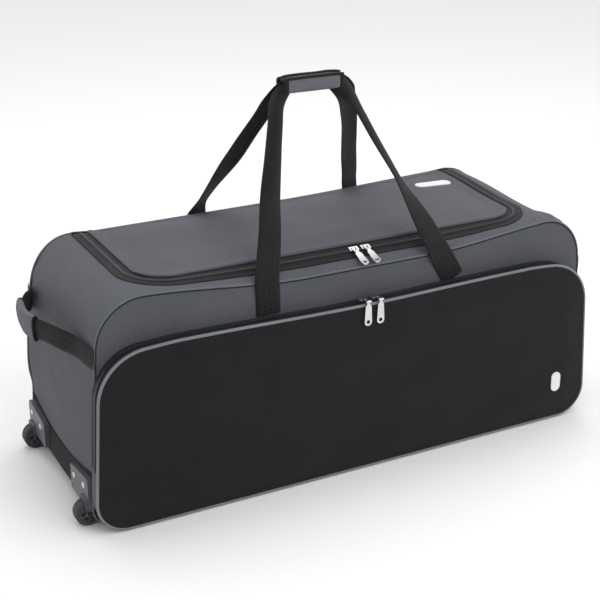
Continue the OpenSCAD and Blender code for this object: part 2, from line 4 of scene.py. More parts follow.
import bmesh
import bpy
import numpy as np
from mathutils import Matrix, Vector

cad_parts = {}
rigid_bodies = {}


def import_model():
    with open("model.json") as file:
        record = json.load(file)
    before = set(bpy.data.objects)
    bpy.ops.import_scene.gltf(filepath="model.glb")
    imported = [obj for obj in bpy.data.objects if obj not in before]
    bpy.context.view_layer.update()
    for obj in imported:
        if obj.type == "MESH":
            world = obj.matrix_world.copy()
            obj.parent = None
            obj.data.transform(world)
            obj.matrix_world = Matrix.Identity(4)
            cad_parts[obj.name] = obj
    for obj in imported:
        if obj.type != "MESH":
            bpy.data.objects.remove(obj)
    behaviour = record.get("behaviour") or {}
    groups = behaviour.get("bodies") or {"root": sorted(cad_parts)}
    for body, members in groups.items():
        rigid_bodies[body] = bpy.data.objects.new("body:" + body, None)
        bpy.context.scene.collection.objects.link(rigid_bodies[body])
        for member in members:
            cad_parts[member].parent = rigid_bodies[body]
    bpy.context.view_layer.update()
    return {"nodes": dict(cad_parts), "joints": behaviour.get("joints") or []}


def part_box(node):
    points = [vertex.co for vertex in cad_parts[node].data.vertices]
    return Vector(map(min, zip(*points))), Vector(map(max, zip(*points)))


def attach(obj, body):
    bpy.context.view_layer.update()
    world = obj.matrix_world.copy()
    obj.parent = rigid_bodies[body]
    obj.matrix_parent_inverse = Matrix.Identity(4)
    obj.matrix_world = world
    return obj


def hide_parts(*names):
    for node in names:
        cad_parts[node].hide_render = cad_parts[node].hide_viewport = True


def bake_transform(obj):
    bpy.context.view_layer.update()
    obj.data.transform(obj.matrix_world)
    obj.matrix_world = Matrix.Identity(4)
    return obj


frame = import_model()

NODES = frame["nodes"]

# ---------------------------------------------------------------- sizes, in metres, from the frame
def mid(node, axis):
    """Middle of a CAD part along one axis: 0, 1 or 2 for X, Y or Z."""
    low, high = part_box(node)
    return (low[axis] + high[axis]) / 2


def half_size(node, axis):
    """Half the size of a CAD part along one axis."""
    low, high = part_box(node)
    return (high[axis] - low[axis]) / 2


FRONT_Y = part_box("front_panel")[0].y
BACK_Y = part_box("back_panel")[1].y
MID_Y = (FRONT_Y + BACK_Y) / 2
DEPTH = BACK_Y - FRONT_Y
TOP_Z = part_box("back_panel")[1].z
BASE_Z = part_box("back_panel")[0].z
SEAM_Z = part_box("front_panel")[1].z
BAND_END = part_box("base_panel")[1].z
POCKET_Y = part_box("pocket_flap")[0].y
POCKET_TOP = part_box("pocket_flap")[1].z
POCKET_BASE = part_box("pocket_lower_panel")[0].z
FOLD_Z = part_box("pocket_flap")[0].z
LID_BACK_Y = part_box("lid_panel")[1].y
END_Z = mid("left_handle_web", 2)
JOINT = {j["name"]: j for j in frame["joints"]}
HINGE_Y, HINGE_Z = JOINT["lid_open"]["pos_m"][1:]
END_SLOPE = 29 / 423                  # how far each end leans in per metre of height
LEAN = math.atan(END_SLOPE)
HALF_BASE = 0.529                     # half length of the bag at floor level
BODY_R0, BODY_R1 = 0.030, 0.090       # lower and upper corner radius of the bag, seen from the front
POCKET_R0, POCKET_R1 = 0.056, 0.092   # the same of the pocket
POCKET_MID_X = mid("pocket_lower_panel", 0)
POCKET_HALF = HALF_BASE - 0.002
SLOPE_RUN = 0.058                     # depth of the slope from the top down to the front seam
TAPE_W = 0.018                        # width of one zip tape
LID_R = 0.075                         # corner radius of the lid zip in plan
LID_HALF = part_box("lid_zip_half")[1].x + 0.0003
LID_Y = FRONT_Y + 0.041               # the front run of the lid zip
LID_EDGE = TAPE_W - 0.004             # the lid's cloth laps 4 mm over its tape
LID_LIFT = 0.0022                     # height of the lid's cloth over the top
SHELL_LAP = 0.003                     # the shell's cloth runs this far under the zip tape
SHELL_X = LID_HALF + TAPE_W - SHELL_LAP
SHELL_R = LID_R + TAPE_W - SHELL_LAP
TURN_Y = LID_Y + LID_R                # where the zip's legs become its front corners
WALL = 0.0024                         # thickness of the padded cloth
POCKET_WALL, GUSSET_WALL, THIN_WALL = 0.0016, 0.0014, 0.0012
TAPE_GAP = 0.0004                     # half the gap between the two tapes of a zip
WELL_ROUND, WELL_BESIDE = 0.0043, 0.0033    # room of a wheel well round its tyre and beside it
STRAP_W, HANDLE_W = 0.047, 0.040      # webbing of the carry straps and of the end handles


# ---------------------------------------------------------------- small helpers
def waves(p, seed, scale):
    """Smooth, repeatable noise of about -1..1 at points p, with features about scale metres across."""
    count = 7
    rng = np.random.RandomState(seed)
    total = np.zeros(p.shape[:-1])
    for _ in range(count):
        k = rng.normal(size=3)
        k *= 2 * math.pi / (scale * (0.7 + 0.9 * rng.rand())) / np.linalg.norm(k)
        total += np.sin(p @ k + rng.rand() * 6.283)
    return total / count * 1.6


def step(x):
    """Smooth rise from 0 to 1 while x goes from 0 to 1."""
    x = np.clip(x, 0, 1)
    return x * x * (3 - 2 * x)


def hump(x, at, width):
    """1 at a place, fading smoothly to 0 over a few widths on both sides."""
    return np.exp(-((x - at) / width) ** 2)


def mesh(name, verts, faces, uvs=None, smooth=True):
    """A mesh object from points, faces and one UV per point, in metres along the cloth."""
    me = bpy.data.meshes.new(name)
    me.from_pydata([tuple(v) for v in verts], [], [tuple(int(i) for i in f) for f in faces])
    if uvs is not None:
        layer = me.uv_layers.new(name="cloth")
        index = np.zeros(len(me.loops), int)
        me.loops.foreach_get("vertex_index", index)
        layer.data.foreach_set("uv", np.asarray(uvs, float)[index].ravel())
    me.validate()
    me.polygons.foreach_set("use_smooth", [smooth] * len(me.polygons))
    me.update()
    ob = bpy.data.objects.new(name, me)
    bpy.context.scene.collection.objects.link(ob)
    return ob


def grid_faces(nu, nv, close_u=False, close_v=False, start=0, flip=False):
    """Quads over nu by nv points numbered row by row."""
    out = []
    for i in range(nu if close_u else nu - 1):
        for j in range(nv if close_v else nv - 1):
            a, b = i * nv + j, ((i + 1) % nu) * nv + j
            c, d = ((i + 1) % nu) * nv + (j + 1) % nv, i * nv + (j + 1) % nv
            quad = (a, b, c, d)
            out.append(tuple(start + k for k in (quad[::-1] if flip else quad)))
    return out


class Build:
    """Collects patches and tubes of one piece before it becomes a mesh."""

    def __init__(self):
        self.v, self.f, self.uv, self.n = [], [], [], 0

    def patch(self, p, uv, flip=False, close_u=False, close_v=False):
        nu, nv = p.shape[:2]
        self.f += grid_faces(nu, nv, close_u, close_v, self.n, flip)
        self.v.append(p.reshape(-1, 3))
        self.uv.append(uv.reshape(-1, 2))
        self.n += nu * nv

    def raw(self, v, f):
        self.f += [tuple(self.n + i for i in face) for face in f]
        self.v.append(np.asarray(v, float))
        self.uv.append(np.zeros((len(v), 2)))
        self.n += len(v)

    def cap(self, first, count, flip=False):
        """One flat face over a run of points."""
        ring = tuple(range(first, first + count))
        self.f.append(ring[::-1] if flip else ring)

    def make(self, name, smooth=True):
        return mesh(name, np.concatenate(self.v), self.f, np.concatenate(self.uv), smooth)


def unit(v):
    return v / np.maximum(np.linalg.norm(v, axis=-1, keepdims=True), 1e-12)


def tangents(path, closed=False):
    if closed:
        return unit(np.roll(path, -1, 0) - np.roll(path, 1, 0))
    return unit(np.gradient(path, axis=0))


def lengths(path, power=1.0):
    """Distance of each point along a line, with each span raised to a power."""
    return np.concatenate([[0], np.cumsum(np.linalg.norm(np.diff(path, axis=0), axis=1) ** power)])


def points_at(path, s, at):
    """Points of a line at distances along it; s holds the distance of each of its own points."""
    return np.stack([np.interp(at, s, path[:, k]) for k in range(path.shape[1])], -1)


def resample(path, spacing):
    """The same line with even spacing."""
    s = lengths(path)
    return points_at(path, s, np.linspace(0, s[-1], max(2, int(round(s[-1] / spacing)) + 1)))


def between(t, t0, t1, p0, p1):
    """Straight-line mix of two points whose knots are t0 and t1."""
    return (t1 - t) / (t1 - t0) * p0 + (t - t0) / (t1 - t0) * p1


def spline(points, count):
    """A smooth line through given points (centripetal Catmull-Rom)."""
    p = np.asarray(points, float)
    p = np.concatenate([[2 * p[0] - p[1]], p, [2 * p[-1] - p[-2]]])
    knots = lengths(p, 0.5)
    out = []
    for t in np.linspace(knots[1], knots[-2], count):
        i = int(np.clip(np.searchsorted(knots, t, "right") - 1, 1, len(p) - 3))
        a1, a2, a3 = [between(t, *knots[k:k + 2], *p[k:k + 2]) for k in (i - 1, i, i + 1)]
        b1 = between(t, knots[i - 1], knots[i + 1], a1, a2)
        b2 = between(t, knots[i], knots[i + 2], a2, a3)
        out.append(between(t, knots[i], knots[i + 1], b1, b2))
    return np.array(out)


def tube(build, path, radius, side, sides=10, closed=False):
    """A round cord along path; side is a rough direction that its rings start from."""
    t = tangents(path, closed)
    a = unit(np.cross(t, np.asarray(side, float) + 0 * t))
    b = unit(np.cross(t, a))
    ang = np.linspace(0, 2 * math.pi, sides, endpoint=False)
    ring = np.cos(ang)[None, :, None] * a[:, None] + np.sin(ang)[None, :, None] * b[:, None]
    uv = np.stack(np.meshgrid(lengths(path), ang * radius, indexing="ij"), -1)
    build.patch(path[:, None] + radius * ring, uv, close_u=closed, close_v=True)
    if not closed:
        build.cap(build.n - len(path) * sides, sides, flip=True)
        build.cap(build.n - sides, sides)


def sheet(name, p, uv, flip=False):
    """A piece that is one patch of cloth."""
    b = Build()
    b.patch(p, uv, flip)
    return b.make(name)


def cord(name, path, radius, side, sides=8, closed=True):
    """A piece that is one round cord."""
    b = Build()
    tube(b, path, radius, side, sides, closed)
    b.make(name)


def solidify(ob, thickness):
    """Gives a piece its cloth thickness, inwards from its drawn face."""
    ob.modifiers.new("thickness", "SOLIDIFY").thickness = thickness


def bevel(ob, width):
    """Rounds the hard edges of a piece."""
    m = ob.modifiers.new("edges", "BEVEL")
    m.width, m.segments, m.limit_method, m.angle_limit = width, 2, "ANGLE", math.radians(40)


# ---------------------------------------------------------------- the bag's outline, seen from the front
class Outline:
    """Rounded outline in X and Z whose ends lean in: matched bottom and top columns, and the closed loop."""

    def __init__(self, base_half, z0, z1, r0, r1, top_shape=None, mid_x=0.0):
        def corner(z, r):
            return np.array([base_half - z * END_SLOPE - r / math.cos(LEAN), z])

        self.high, self.z1 = corner(z1 - r1, r1), z1
        self.top_shape = top_shape or (lambda x: 0 * x)
        lo, hi = self._half(corner(z0 + r0, r0), r0, z0, -1), self._half(self.high, r1, z1, 1)
        mirror, move = np.array([-1, 1]), np.array([mid_x, 0])
        self.lower = np.concatenate([(lo * mirror)[:0:-1], lo]) + move
        self.upper = np.concatenate([(hi * mirror)[:0:-1], hi]) + move
        ring = np.concatenate([lo, self._side(lo[-1], hi[-1]), hi[::-1], (hi * mirror)[1:],
                               self._side(hi[-1], lo[-1]) * mirror, (lo * mirror)[::-1]])
        self.ring = resample(ring + move, 0.004)
        self.s = lengths(self.ring)
        self.total = self.s[-1]
        t = tangents(self.ring)
        t[0] = t[-1] = (1, 0)
        self.normal = np.stack([t[:, 1], -t[:, 0]], 1)

    @staticmethod
    def _half(corner, radius, z, up):
        """Right half of the base edge (up is -1) or the top edge (up is 1), with its round corner."""
        flat = np.linspace(0, 1, 48)[:-1]
        a = up * math.pi / 2 + (LEAN - up * math.pi / 2) * np.linspace(0, 1, 22)
        arc = corner + radius * np.stack([np.cos(a), np.sin(a)], 1)
        return np.concatenate([np.stack([flat * corner[0], 0 * flat + z], 1), arc])

    @staticmethod
    def _side(a, b):
        return a + (b - a) * np.linspace(0, 1, 40)[1:-1, None]

    def drop(self, xz):
        """Lets the top edge follow its real, uneven line."""
        out = np.array(xz, float)
        share = step((out[..., 1] - (self.z1 - 0.09)) / 0.09)
        out[..., 1] += self.top_shape(out[..., 0]) * share
        return out

    def at(self, s):
        """Point and outward normal at a distance along the loop from the middle of the base."""
        s = np.mod(s, self.total)
        return points_at(self.ring, self.s, s), unit(points_at(self.normal, self.s, s))

    def s_of(self, side, x=None, z=None):
        """Distance along the loop of a height on one side, or of an X on one side of the top."""
        half = self.s <= self.total / 2 if side > 0 else self.s >= self.total / 2
        s, ring = self.s[half], self.ring[half]
        if z is not None:
            keep = ring[:, 1] < self.high[1]
            order = np.argsort(ring[keep][:, 1])
            return np.interp(z, ring[keep][order, 1], s[keep][order])
        keep = ring[:, 1] > self.high[1]
        order = np.argsort(ring[keep][:, 0])
        return np.interp(x, ring[keep][order, 0], s[keep][order])


def seam_dip(x):
    """How far the front seam hangs below the flat top, along the bag."""
    return 0.0245 * step((0.46 - np.abs(x - 0.02)) / 0.34)


def pocket_line(x):
    """The top edge of the pocket: a little high towards its corners, low in the middle."""
    return 0.0035 - 0.006 * hump(x, -0.02, 0.22) - 0.0035 * step((np.abs(x) - 0.36) / 0.08)


body = Outline(HALF_BASE, BASE_Z, TOP_Z, BODY_R0, BODY_R1)
pocket = Outline(POCKET_HALF, POCKET_BASE, POCKET_TOP, POCKET_R0, POCKET_R1, pocket_line, POCKET_MID_X)


def rear_rise(x):
    """How far the stuffing lifts the rear of the top, more towards the right end."""
    return 0.0005 + 0.0105 * step((x - 0.02) / 0.46) * step((0.535 - x) / 0.06)


def back_dip(x):
    """How far the top hangs below its own height at the back seam; below zero it stands higher."""
    return (0.0048 - 0.0050 * x) * step((0.47 - np.abs(x)) / 0.10) - rear_rise(x)


def back_drop(x, y):
    """The top rolls down a little at the back seam after rising over the rear half."""
    rise = rear_rise(x) * step((y - MID_Y + 0.05) / 0.20)
    return (back_dip(x) + rear_rise(x)) * np.clip((y - (BACK_Y - 0.060)) / 0.060, 0, 1) ** 3 - rise


def arc_height(x):
    """Height of the bag's outline: flat over the middle, round over its upper corners."""
    over = np.clip(np.abs(x) - body.high[0], 0, BODY_R1 * 0.999)
    return TOP_Z - BODY_R1 + np.sqrt(BODY_R1 ** 2 - over ** 2)


def top_fall(x, y):
    """How far the cloth of the top lies below the outline."""
    t = np.clip((y - FRONT_Y) / SLOPE_RUN, 0, 1)
    return seam_dip(x) * (1 - t) ** 1.15 + back_drop(x, y)


def top_height(x, y):
    """Height of the cloth over the top of the bag, without the lid's own crown."""
    return arc_height(x) - top_fall(x, y)


def lid_crown(x, y):
    """The lid stands a little proud, with soft dents."""
    u = np.clip((LID_HALF - TAPE_W - np.abs(x)) / 0.09, 0, 1)
    v0 = np.clip((y - LID_Y - TAPE_W) / 0.07, 0, 1)
    v1 = np.clip((HINGE_Y - y) / 0.09, 0, 1)
    p = np.stack([x, y, 0 * x], -1)
    full = step(u) * step(v0) * step(v1)
    return full * (0.0055 + 0.0021 * waves(p, 5, 0.28)) + 0.0009 * waves(p, 8, 0.07) * np.minimum(1, 6 * full)


def lid_height(x, y):
    """Height of the lid's cloth away from its hem."""
    return top_height(x, y) + lid_crown(x, y) + LID_LIFT


# ---------------------------------------------------------------- main compartment
def column_face(outline, rows, dip=None):
    """Columns of points from the base to the top edge of an outline, with their place along it and up it."""
    lower, upper = outline.lower, outline.drop(outline.upper)
    if dip is not None:
        upper[:, 1] -= dip(upper[:, 0])
    v = 0.5 - 0.5 * np.cos(np.linspace(0, math.pi, rows))
    v = 0.6 * v + 0.4 * np.linspace(0, 1, rows)
    xz = lower[:, None] * (1 - v[None, :, None]) + upper[:, None] * v[None, :, None]
    u = np.linspace(-1, 1, len(lower))[:, None] + 0 * v[None]
    return xz, u, v[None] + 0 * u


def edge_distance(outline, x, z):
    """How far points lie inside an outline."""
    ring = outline.ring[::2]
    flat = np.stack([x.ravel(), z.ravel()], 1)
    out = np.empty(len(flat))
    for k in range(0, len(flat), 2000):
        gap = flat[k:k + 2000, None] - ring[None]
        out[k:k + 2000] = np.sqrt((gap ** 2).sum(-1).min(1))
    return out.reshape(x.shape)


def rear_bulge(z):
    """How far the ends spread beyond their outline at the back seam."""
    return 0.0085 * step((z - 0.10) / 0.09) * step((0.375 - z) / 0.12)


def front_fall(x):
    """How far the front panel's edge hangs: with the seam, but not in the round corners."""
    return seam_dip(x) * (np.abs(x) < 0.49)


def flat_face(name, y, outward, dip, shoulder):
    """The front or back panel: nearly flat, a little full between its seams, with a rounded shoulder."""
    shoulder_run = 0.022
    xz, u, v = column_face(body, 44, dip)
    x, z = xz[..., 0], xz[..., 1]
    full = (1 - np.abs(u) ** 8) * np.clip(4 * v * (1 - v), 0, 1)
    full = full * (0.003 + 0.0012 * waves(np.stack([x, 0 * x, z], -1), 11, 0.2))
    inside = np.minimum(edge_distance(body, x, z), np.clip(arc_height(x) - dip(x) - z, 0, 1))
    turn_in = 1 - np.clip(inside / shoulder_run, 0, 1)
    full = full + shoulder * np.sqrt(np.clip(1 - turn_in ** 2, 0, 1))
    if outward > 0:
        x = x + np.sign(x) * rear_bulge(z) * step((np.abs(x) - 0.42) / 0.07)
    return sheet(name, np.stack([x, y + outward * full, z], -1), np.stack([x, z], -1), outward > 0)


def split_below(ob, name, z_cut):
    """Moves the faces of a piece whose middle is below a height into a second piece."""
    me, layer = ob.data, ob.data.uv_layers["cloth"].data
    uv = {loop.vertex_index: layer[loop.index].uv[:] for loop in me.loops}
    faces = [(tuple(f.vertices), f.center.z < z_cut) for f in me.polygons]
    bpy.data.objects.remove(ob)
    for part_name, below in ((me.name, False), (name, True)):
        kept = [f for f, low in faces if low == below]
        used = sorted({i for f in kept for i in f})
        place = {old: new for new, old in enumerate(used)}
        mesh(part_name, [me.vertices[i].co for i in used], [[place[i] for i in f] for f in kept],
             [uv[i] for i in used])
    bpy.data.meshes.remove(me)


split_below(flat_face("bag_front", FRONT_Y, -1, front_fall, 0.0), "bag_front_low", BAND_END)
flat_face("bag_back", BACK_Y, 1, back_dip, 0.007)


def band_z(y):
    """Curved seam between the dark base band and the wheel-end panel."""
    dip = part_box("left_end_panel")[0].z
    half = DEPTH / 2
    r = (half ** 2 + (BAND_END - dip) ** 2) / 2 / (BAND_END - dip)
    return dip + r - np.sqrt(r ** 2 - (y - MID_Y) ** 2)


s_left_top, s_right_top = body.s_of(-1, x=-SHELL_X), body.s_of(1, x=SHELL_X)
s_right_base = body.s_of(1, z=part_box("right_end_panel")[0].z)


def shell_point(s, y, seed):
    """Point on the outer cloth at a loop distance and a Y: full ends, puckered seams, dipping front edge."""
    p, n = body.at(s)
    x, z = p[..., 0], p[..., 1]
    q = np.stack([x, y, z], -1)
    v, from_mid = (y - FRONT_Y) / DEPTH, np.abs(y - MID_Y)
    side = (step((s - s_left_top) / 0.14) + step((s_right_top - s) / 0.14)) * (np.abs(x) > 0.40)
    low = step((z - 0.100) / 0.10)
    edge = np.clip(4 * v * (1 - v), 0, 1) ** 0.75
    near = np.exp(-np.minimum(v, 1 - v) * DEPTH / 0.012)
    push = side * low * edge * (0.012 + 0.0028 * waves(q, seed, 0.20) + 0.0013 * waves(q, seed + 1, 0.07))
    push += near * 0.0007 * np.sin(s / 0.0135 + 2 * np.sin(s / 0.09)) * side * low
    anchor = hump(z, END_Z, 0.05) * hump(from_mid, 0.165, 0.05)
    push += side * anchor * 0.0012 * np.sin((z + 0.6 * from_mid) / 0.006)
    push += np.minimum(side, 1) * rear_bulge(z) * step((y - BACK_Y + 0.09) / 0.08)
    on_top = step((n[..., 1] - 0.2) / 0.3) * (z > 0.3)
    q[..., 0] += n[..., 0] * push
    q[..., 1] += 0.002 * np.minimum(side, 1) * (y > BACK_Y - 1e-6)
    q[..., 2] += n[..., 1] * push - top_fall(x, y) * on_top
    return q


def shell_patch(build, s_from, s_to, y_rows, along, seed):
    """Part of the shell between two loop distances, each one value or one for each Y."""
    u = np.linspace(0, 1, along)[:, None]
    y = y_rows[None] + 0 * u
    s = (s_from + 0 * y_rows)[None] * (1 - u) + (s_to + 0 * y_rows)[None] * u
    build.patch(shell_point(s, y, seed), np.stack([y, s], -1), flip=True)


def weld(ob):
    """Joins the touching edges of a piece's patches."""
    bm = bmesh.new()
    bm.from_mesh(ob.data)
    bmesh.ops.remove_doubles(bm, verts=bm.verts, dist=0.0003)
    bm.to_mesh(ob.data)
    bm.free()


def bag_shell():
    """The grey cloth: both ends, and the top in front of the lid and behind it."""
    y_rows = np.concatenate([np.linspace(FRONT_Y, TURN_Y, 17), np.linspace(TURN_Y, HINGE_Y, 24)[1:],
                             np.linspace(HINGE_Y, BACK_Y, 5)[1:]])
    b = Build()
    shell_patch(b, s_left_top, body.s_of(-1, z=band_z(y_rows)), y_rows, 100, 21)
    shell_patch(b, s_right_base, s_right_top, y_rows, 110, 31)
    flat = SHELL_X - SHELL_R
    half_x = np.concatenate([np.linspace(0, flat, 70)[:-1],
                             flat + SHELL_R * np.sin(np.linspace(0, math.pi / 2, 20))])
    half_y = TURN_Y - np.sqrt(np.maximum(SHELL_R ** 2 - np.maximum(half_x - flat, 0) ** 2, 0))
    x_line = np.concatenate([half_x[::-1], -half_x[1:]])
    y_line = np.concatenate([half_y[::-1], half_y[1:]])
    s_line = np.array([body.s_of(1 if k > 0 else -1, x=k) for k in x_line])[:, None]
    for y_lo, y_hi, rows in ((FRONT_Y, y_line, 17), (HINGE_Y, BACK_Y, 5)):
        t = np.linspace(0, 1, rows)[None]
        y = (y_lo + 0 * y_line)[:, None] * (1 - t) + (y_hi + 0 * y_line)[:, None] * t
        x = x_line[:, None] + 0 * y
        ease = np.sin(math.pi * t) * step((SHELL_X - np.abs(x)) / 0.05)
        z = top_height(x, y) + ease * 0.0010 * waves(np.stack([x, y, 0 * x], -1), 51, 0.08)
        b.patch(np.stack([x, y, z], -1), np.stack([y, s_line + 0 * y], -1), flip=True)
    weld(b.make("bag_shell"))


bag_shell()


def swept_base():
    """The dark base, from the curved band seam round under the bag to the far end."""
    y = np.linspace(FRONT_Y, BACK_Y, 44)
    u = np.linspace(0, 1, 230)[:, None]
    s = (body.s_of(-1, z=band_z(y)) - body.total)[None] * (1 - u) + s_right_base * u
    p, n = body.at(s)
    v = (y - FRONT_Y) / DEPTH
    q = np.stack([p[..., 0], y[None] + 0 * s, p[..., 1]], -1)
    soft = np.clip(4 * v * (1 - v), 0, 1)[None] * step((p[..., 1] - 0.03) / 0.04)
    push = soft * (0.002 + 0.0012 * waves(q, 41, 0.10)) * np.clip(np.minimum(u, 1 - u) * 20, 0, 1)
    q[..., 0] += n[..., 0] * push
    return sheet("bag_base", q, np.stack([q[..., 1], s], -1), True)


bag_base = swept_base()


def apply_modifiers(ob):
    """Replaces a piece's mesh by the result of its modifiers."""
    bpy.context.view_layer.update()
    got = bpy.data.meshes.new_from_object(ob.evaluated_get(bpy.context.evaluated_depsgraph_get()))
    old = ob.data
    ob.modifiers.clear()
    ob.data = got
    bpy.data.meshes.remove(old)


def wheel_cutters():
    """Prisms that open the base for the two wheel wells."""
    cutters = []
    for name in ("front", "back"):
        lo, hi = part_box(f"tyre_{name}")
        cx, cz, r = mid(f"tyre_{name}", 0), mid(f"tyre_{name}", 2), half_size(f"tyre_{name}", 2) + WELL_ROUND
        a = np.linspace(0, math.pi, 37)
        ring = [(cx + r * math.cos(k), cz + r * math.sin(k)) for k in a] + [(cx - r, -0.02), (cx + r, -0.02)]
        n = len(ring)
        verts = [(x, y, z) for y in (lo.y - WELL_BESIDE, hi.y + WELL_BESIDE) for x, z in ring]
        faces = [(k, (k + 1) % n, n + (k + 1) % n, n + k) for k in range(n)]
        faces += [tuple(range(n))[::-1], tuple(range(n, 2 * n))]
        cutters.append(mesh(f"cutter_{name}", verts, faces))
    return cutters


cord_y = np.linspace(FRONT_Y + 0.001, BACK_Y - 0.001, 90)
cord_xz, _ = body.at(body.s_of(-1, z=band_z(cord_y)))
cord("band_cord", np.stack([cord_xz[:, 0] - 0.0008, cord_y, cord_xz[:, 1]], -1), 0.0018, (1, 0, 0),
     closed=False)

solidify(bag_base, WALL)
cutters = wheel_cutters()
for cutter in cutters:
    m = bag_base.modifiers.new("well", "BOOLEAN")
    m.operation, m.solver, m.object = "DIFFERENCE", "EXACT", cutter
apply_modifiers(bag_base)
for cutter in cutters:
    bpy.data.objects.remove(cutter)


def lid_line(grow, y_end):
    """Plan line parallel to the lid zip, from the left rear end round the front to the right rear end."""
    legs, arc, front = 30, 22, 110
    h, r, y0 = LID_HALF + grow, LID_R + grow, LID_Y - grow
    a = np.linspace(math.pi, 1.5 * math.pi, arc)
    corner = np.stack([-(h - r) + r * np.cos(a), y0 + r + r * np.sin(a)], 1)
    left = np.stack([np.full(legs, -h), np.linspace(y_end, y0 + r, legs)], 1)[:-1]
    middle = np.stack([np.linspace(-(h - r), h - r, front), np.full(front, y0)], 1)[1:-1]
    half = np.concatenate([left, corner])
    return np.concatenate([half, middle, (half * [-1, 1])[::-1]])


def over_top(xy, lift):
    """Points on the cloth of the top, or lift metres above it, from points of the plan."""
    return np.stack([xy[..., 0], xy[..., 1], top_height(xy[..., 0], xy[..., 1]) + lift], -1)


# ---------------------------------------------------------------- zips
TOOTH_PITCH, TOOTH_HIGH, TOOTH_LIFT = 0.0027, 0.0021, 0.0006
TOOTH_IN, TOOTH_OUT = 0.0010, 0.0034     # how far a tooth reaches over the middle and over its tape
TOOTH_RING = ((-0.42, 0.0), (-0.30, 0.75), (-0.12, 1.0), (0.12, 1.0), (0.30, 0.75), (0.42, 0.0))
TOOTH_FACES = [(i, i + 1, i + 7, i + 6) for i in range(5)] + [tuple(range(6))[::-1], tuple(range(6, 12))]


def tape_profile(t):
    """Height of a woven zip tape across its width: a low ridge beside the teeth and a rolled outer edge."""
    return 0.0010 + 0.0011 * hump(t, 0.24, 0.07) + 0.0005 * hump(t, 0.86, 0.05)


def teeth(name, path, up, side_sign):
    """A row of moulded teeth, each a six-sided bar, on the side of the zip's line that side_sign gives."""
    s = lengths(path)
    b = Build()
    start = TOOTH_PITCH * (0.25 if side_sign > 0 else 0.75)
    for q in np.arange(start, s[-1], TOOTH_PITCH):
        p = points_at(path, s, q)
        t = unit(points_at(path, s, q + 0.001) - points_at(path, s, q - 0.001))
        n = up(p)
        side = unit(np.cross(n, t)) * side_sign
        b.raw([p + n * TOOTH_LIFT + side * reach + t * a * TOOTH_PITCH + n * h * TOOTH_HIGH
               for reach in (-TOOTH_IN, TOOTH_OUT) for a, h in TOOTH_RING], TOOTH_FACES)
    b.make(name, smooth=False)


def top_normal(p):
    """Upward direction of the cloth of the top at a point."""
    d = 0.002
    x, y = p[0], p[1]
    hx = top_height(x + d, y) - top_height(x - d, y)
    hy = top_height(x, y + d) - top_height(x, y - d)
    return unit(np.array([-hx, -hy, 2 * d]))


def lid_tape(name, sign, y_end):
    """One tape of the lid zip: on the bag's side (sign 1) or the lid's side (sign -1) of the teeth."""
    t = np.linspace(0, 1, 12)[None, :, None]
    xy = lid_line(sign * TAPE_GAP, y_end)[:, None] * (1 - t) + lid_line(sign * TAPE_W, y_end)[:, None] * t
    solidify(sheet(name, over_top(xy, tape_profile(t[..., 0])), xy, sign > 0), THIN_WALL)


lid_tape("bag_zip_tape", 1, HINGE_Y)
lid_tape("lid_zip_tape", -1, LID_BACK_Y)
zip_path = over_top(lid_line(0, LID_BACK_Y), 0)
teeth("bag_zip_teeth", zip_path, top_normal, 1)
teeth("lid_zip_teeth", zip_path, top_normal, -1)


# ---------------------------------------------------------------- lid
def lid_points():
    """The lid's cloth: columns from the front zip to the hinge line, closer together round the corners."""
    columns, rows = 75, 52
    h, r, y0 = LID_HALF - LID_EDGE, LID_R - LID_EDGE, LID_Y + LID_EDGE
    a = np.linspace(0, math.pi / 2, 16)
    right = np.concatenate([np.linspace(0, h - r, columns)[:-1], h - r + r * np.sin(a)])
    front = np.concatenate([np.full(columns - 1, y0), y0 + r - r * np.cos(a)])
    x = np.concatenate([-right[:0:-1], right])[:, None]
    y_front = np.concatenate([front[:0:-1], front])[:, None]
    v = np.linspace(0, 1, rows)[None]
    return x + 0 * v, y_front * (1 - v) + (HINGE_Y + 0.004) * v


def lid_roll(x, y, y_front):
    """The lid's hem stands a little proud of the zip, puckered round its two front corners."""
    inside = np.minimum(LID_HALF - LID_EDGE - np.abs(x), y - y_front)
    corner = np.exp(-((np.abs(x) - LID_HALF + 0.05) ** 2 + (y - LID_Y - 0.05) ** 2) / 0.0040)
    ripple = 0.0016 * corner * np.sin((np.abs(x) - 1.3 * y) / 0.0075)
    return (0.0028 + ripple) * hump(inside, 0.007, 0.008)


x, y = lid_points()
z = lid_height(x, y) + lid_roll(x, y, y[:, :1])
sheet("lid_cloth", np.stack([x, y, z], -1), np.stack([x, y], -1))


# ---------------------------------------------------------------- front pocket
# Drag lines in the pocket's cloth: middle X and Z, slope, spacing, reach squared and height
DRAG_LINES = ((-0.40, 0.07, 0.55, 0.017, 0.012, 0.0013), (0.40, 0.09, -0.4, 0.019, 0.010, 0.0012),
              (-0.43, 0.27, 0.3, 0.014, 0.006, 0.0009))


def pocket_front(x, z):
    """Y of the pocket's face: soft, with shallow dents, a faint fold line and drag lines from its corners."""
    p = np.stack([x, 0 * x, z], -1)
    full = step(edge_distance(pocket, x, z) / 0.050)
    near_pull = hump(x, 0.01, 0.09) * step((z - 0.25) / 0.06)
    soft = 0.0034 + 0.0022 * waves(p, 61, 0.30) + 0.0008 * waves(p, 62, 0.10)
    soft = soft - 0.0011 * np.exp(-np.abs(x + 0.012 + 0.02 * (z - 0.2)) / 0.006)
    drag = sum(high * np.sin((z + slope * x) / spacing) * np.exp(-((x - cx) ** 2 + (z - cz) ** 2) / reach)
               for cx, cz, slope, spacing, reach, high in DRAG_LINES)
    return POCKET_Y - full * (soft * (1 - 0.8 * near_pull) + drag)


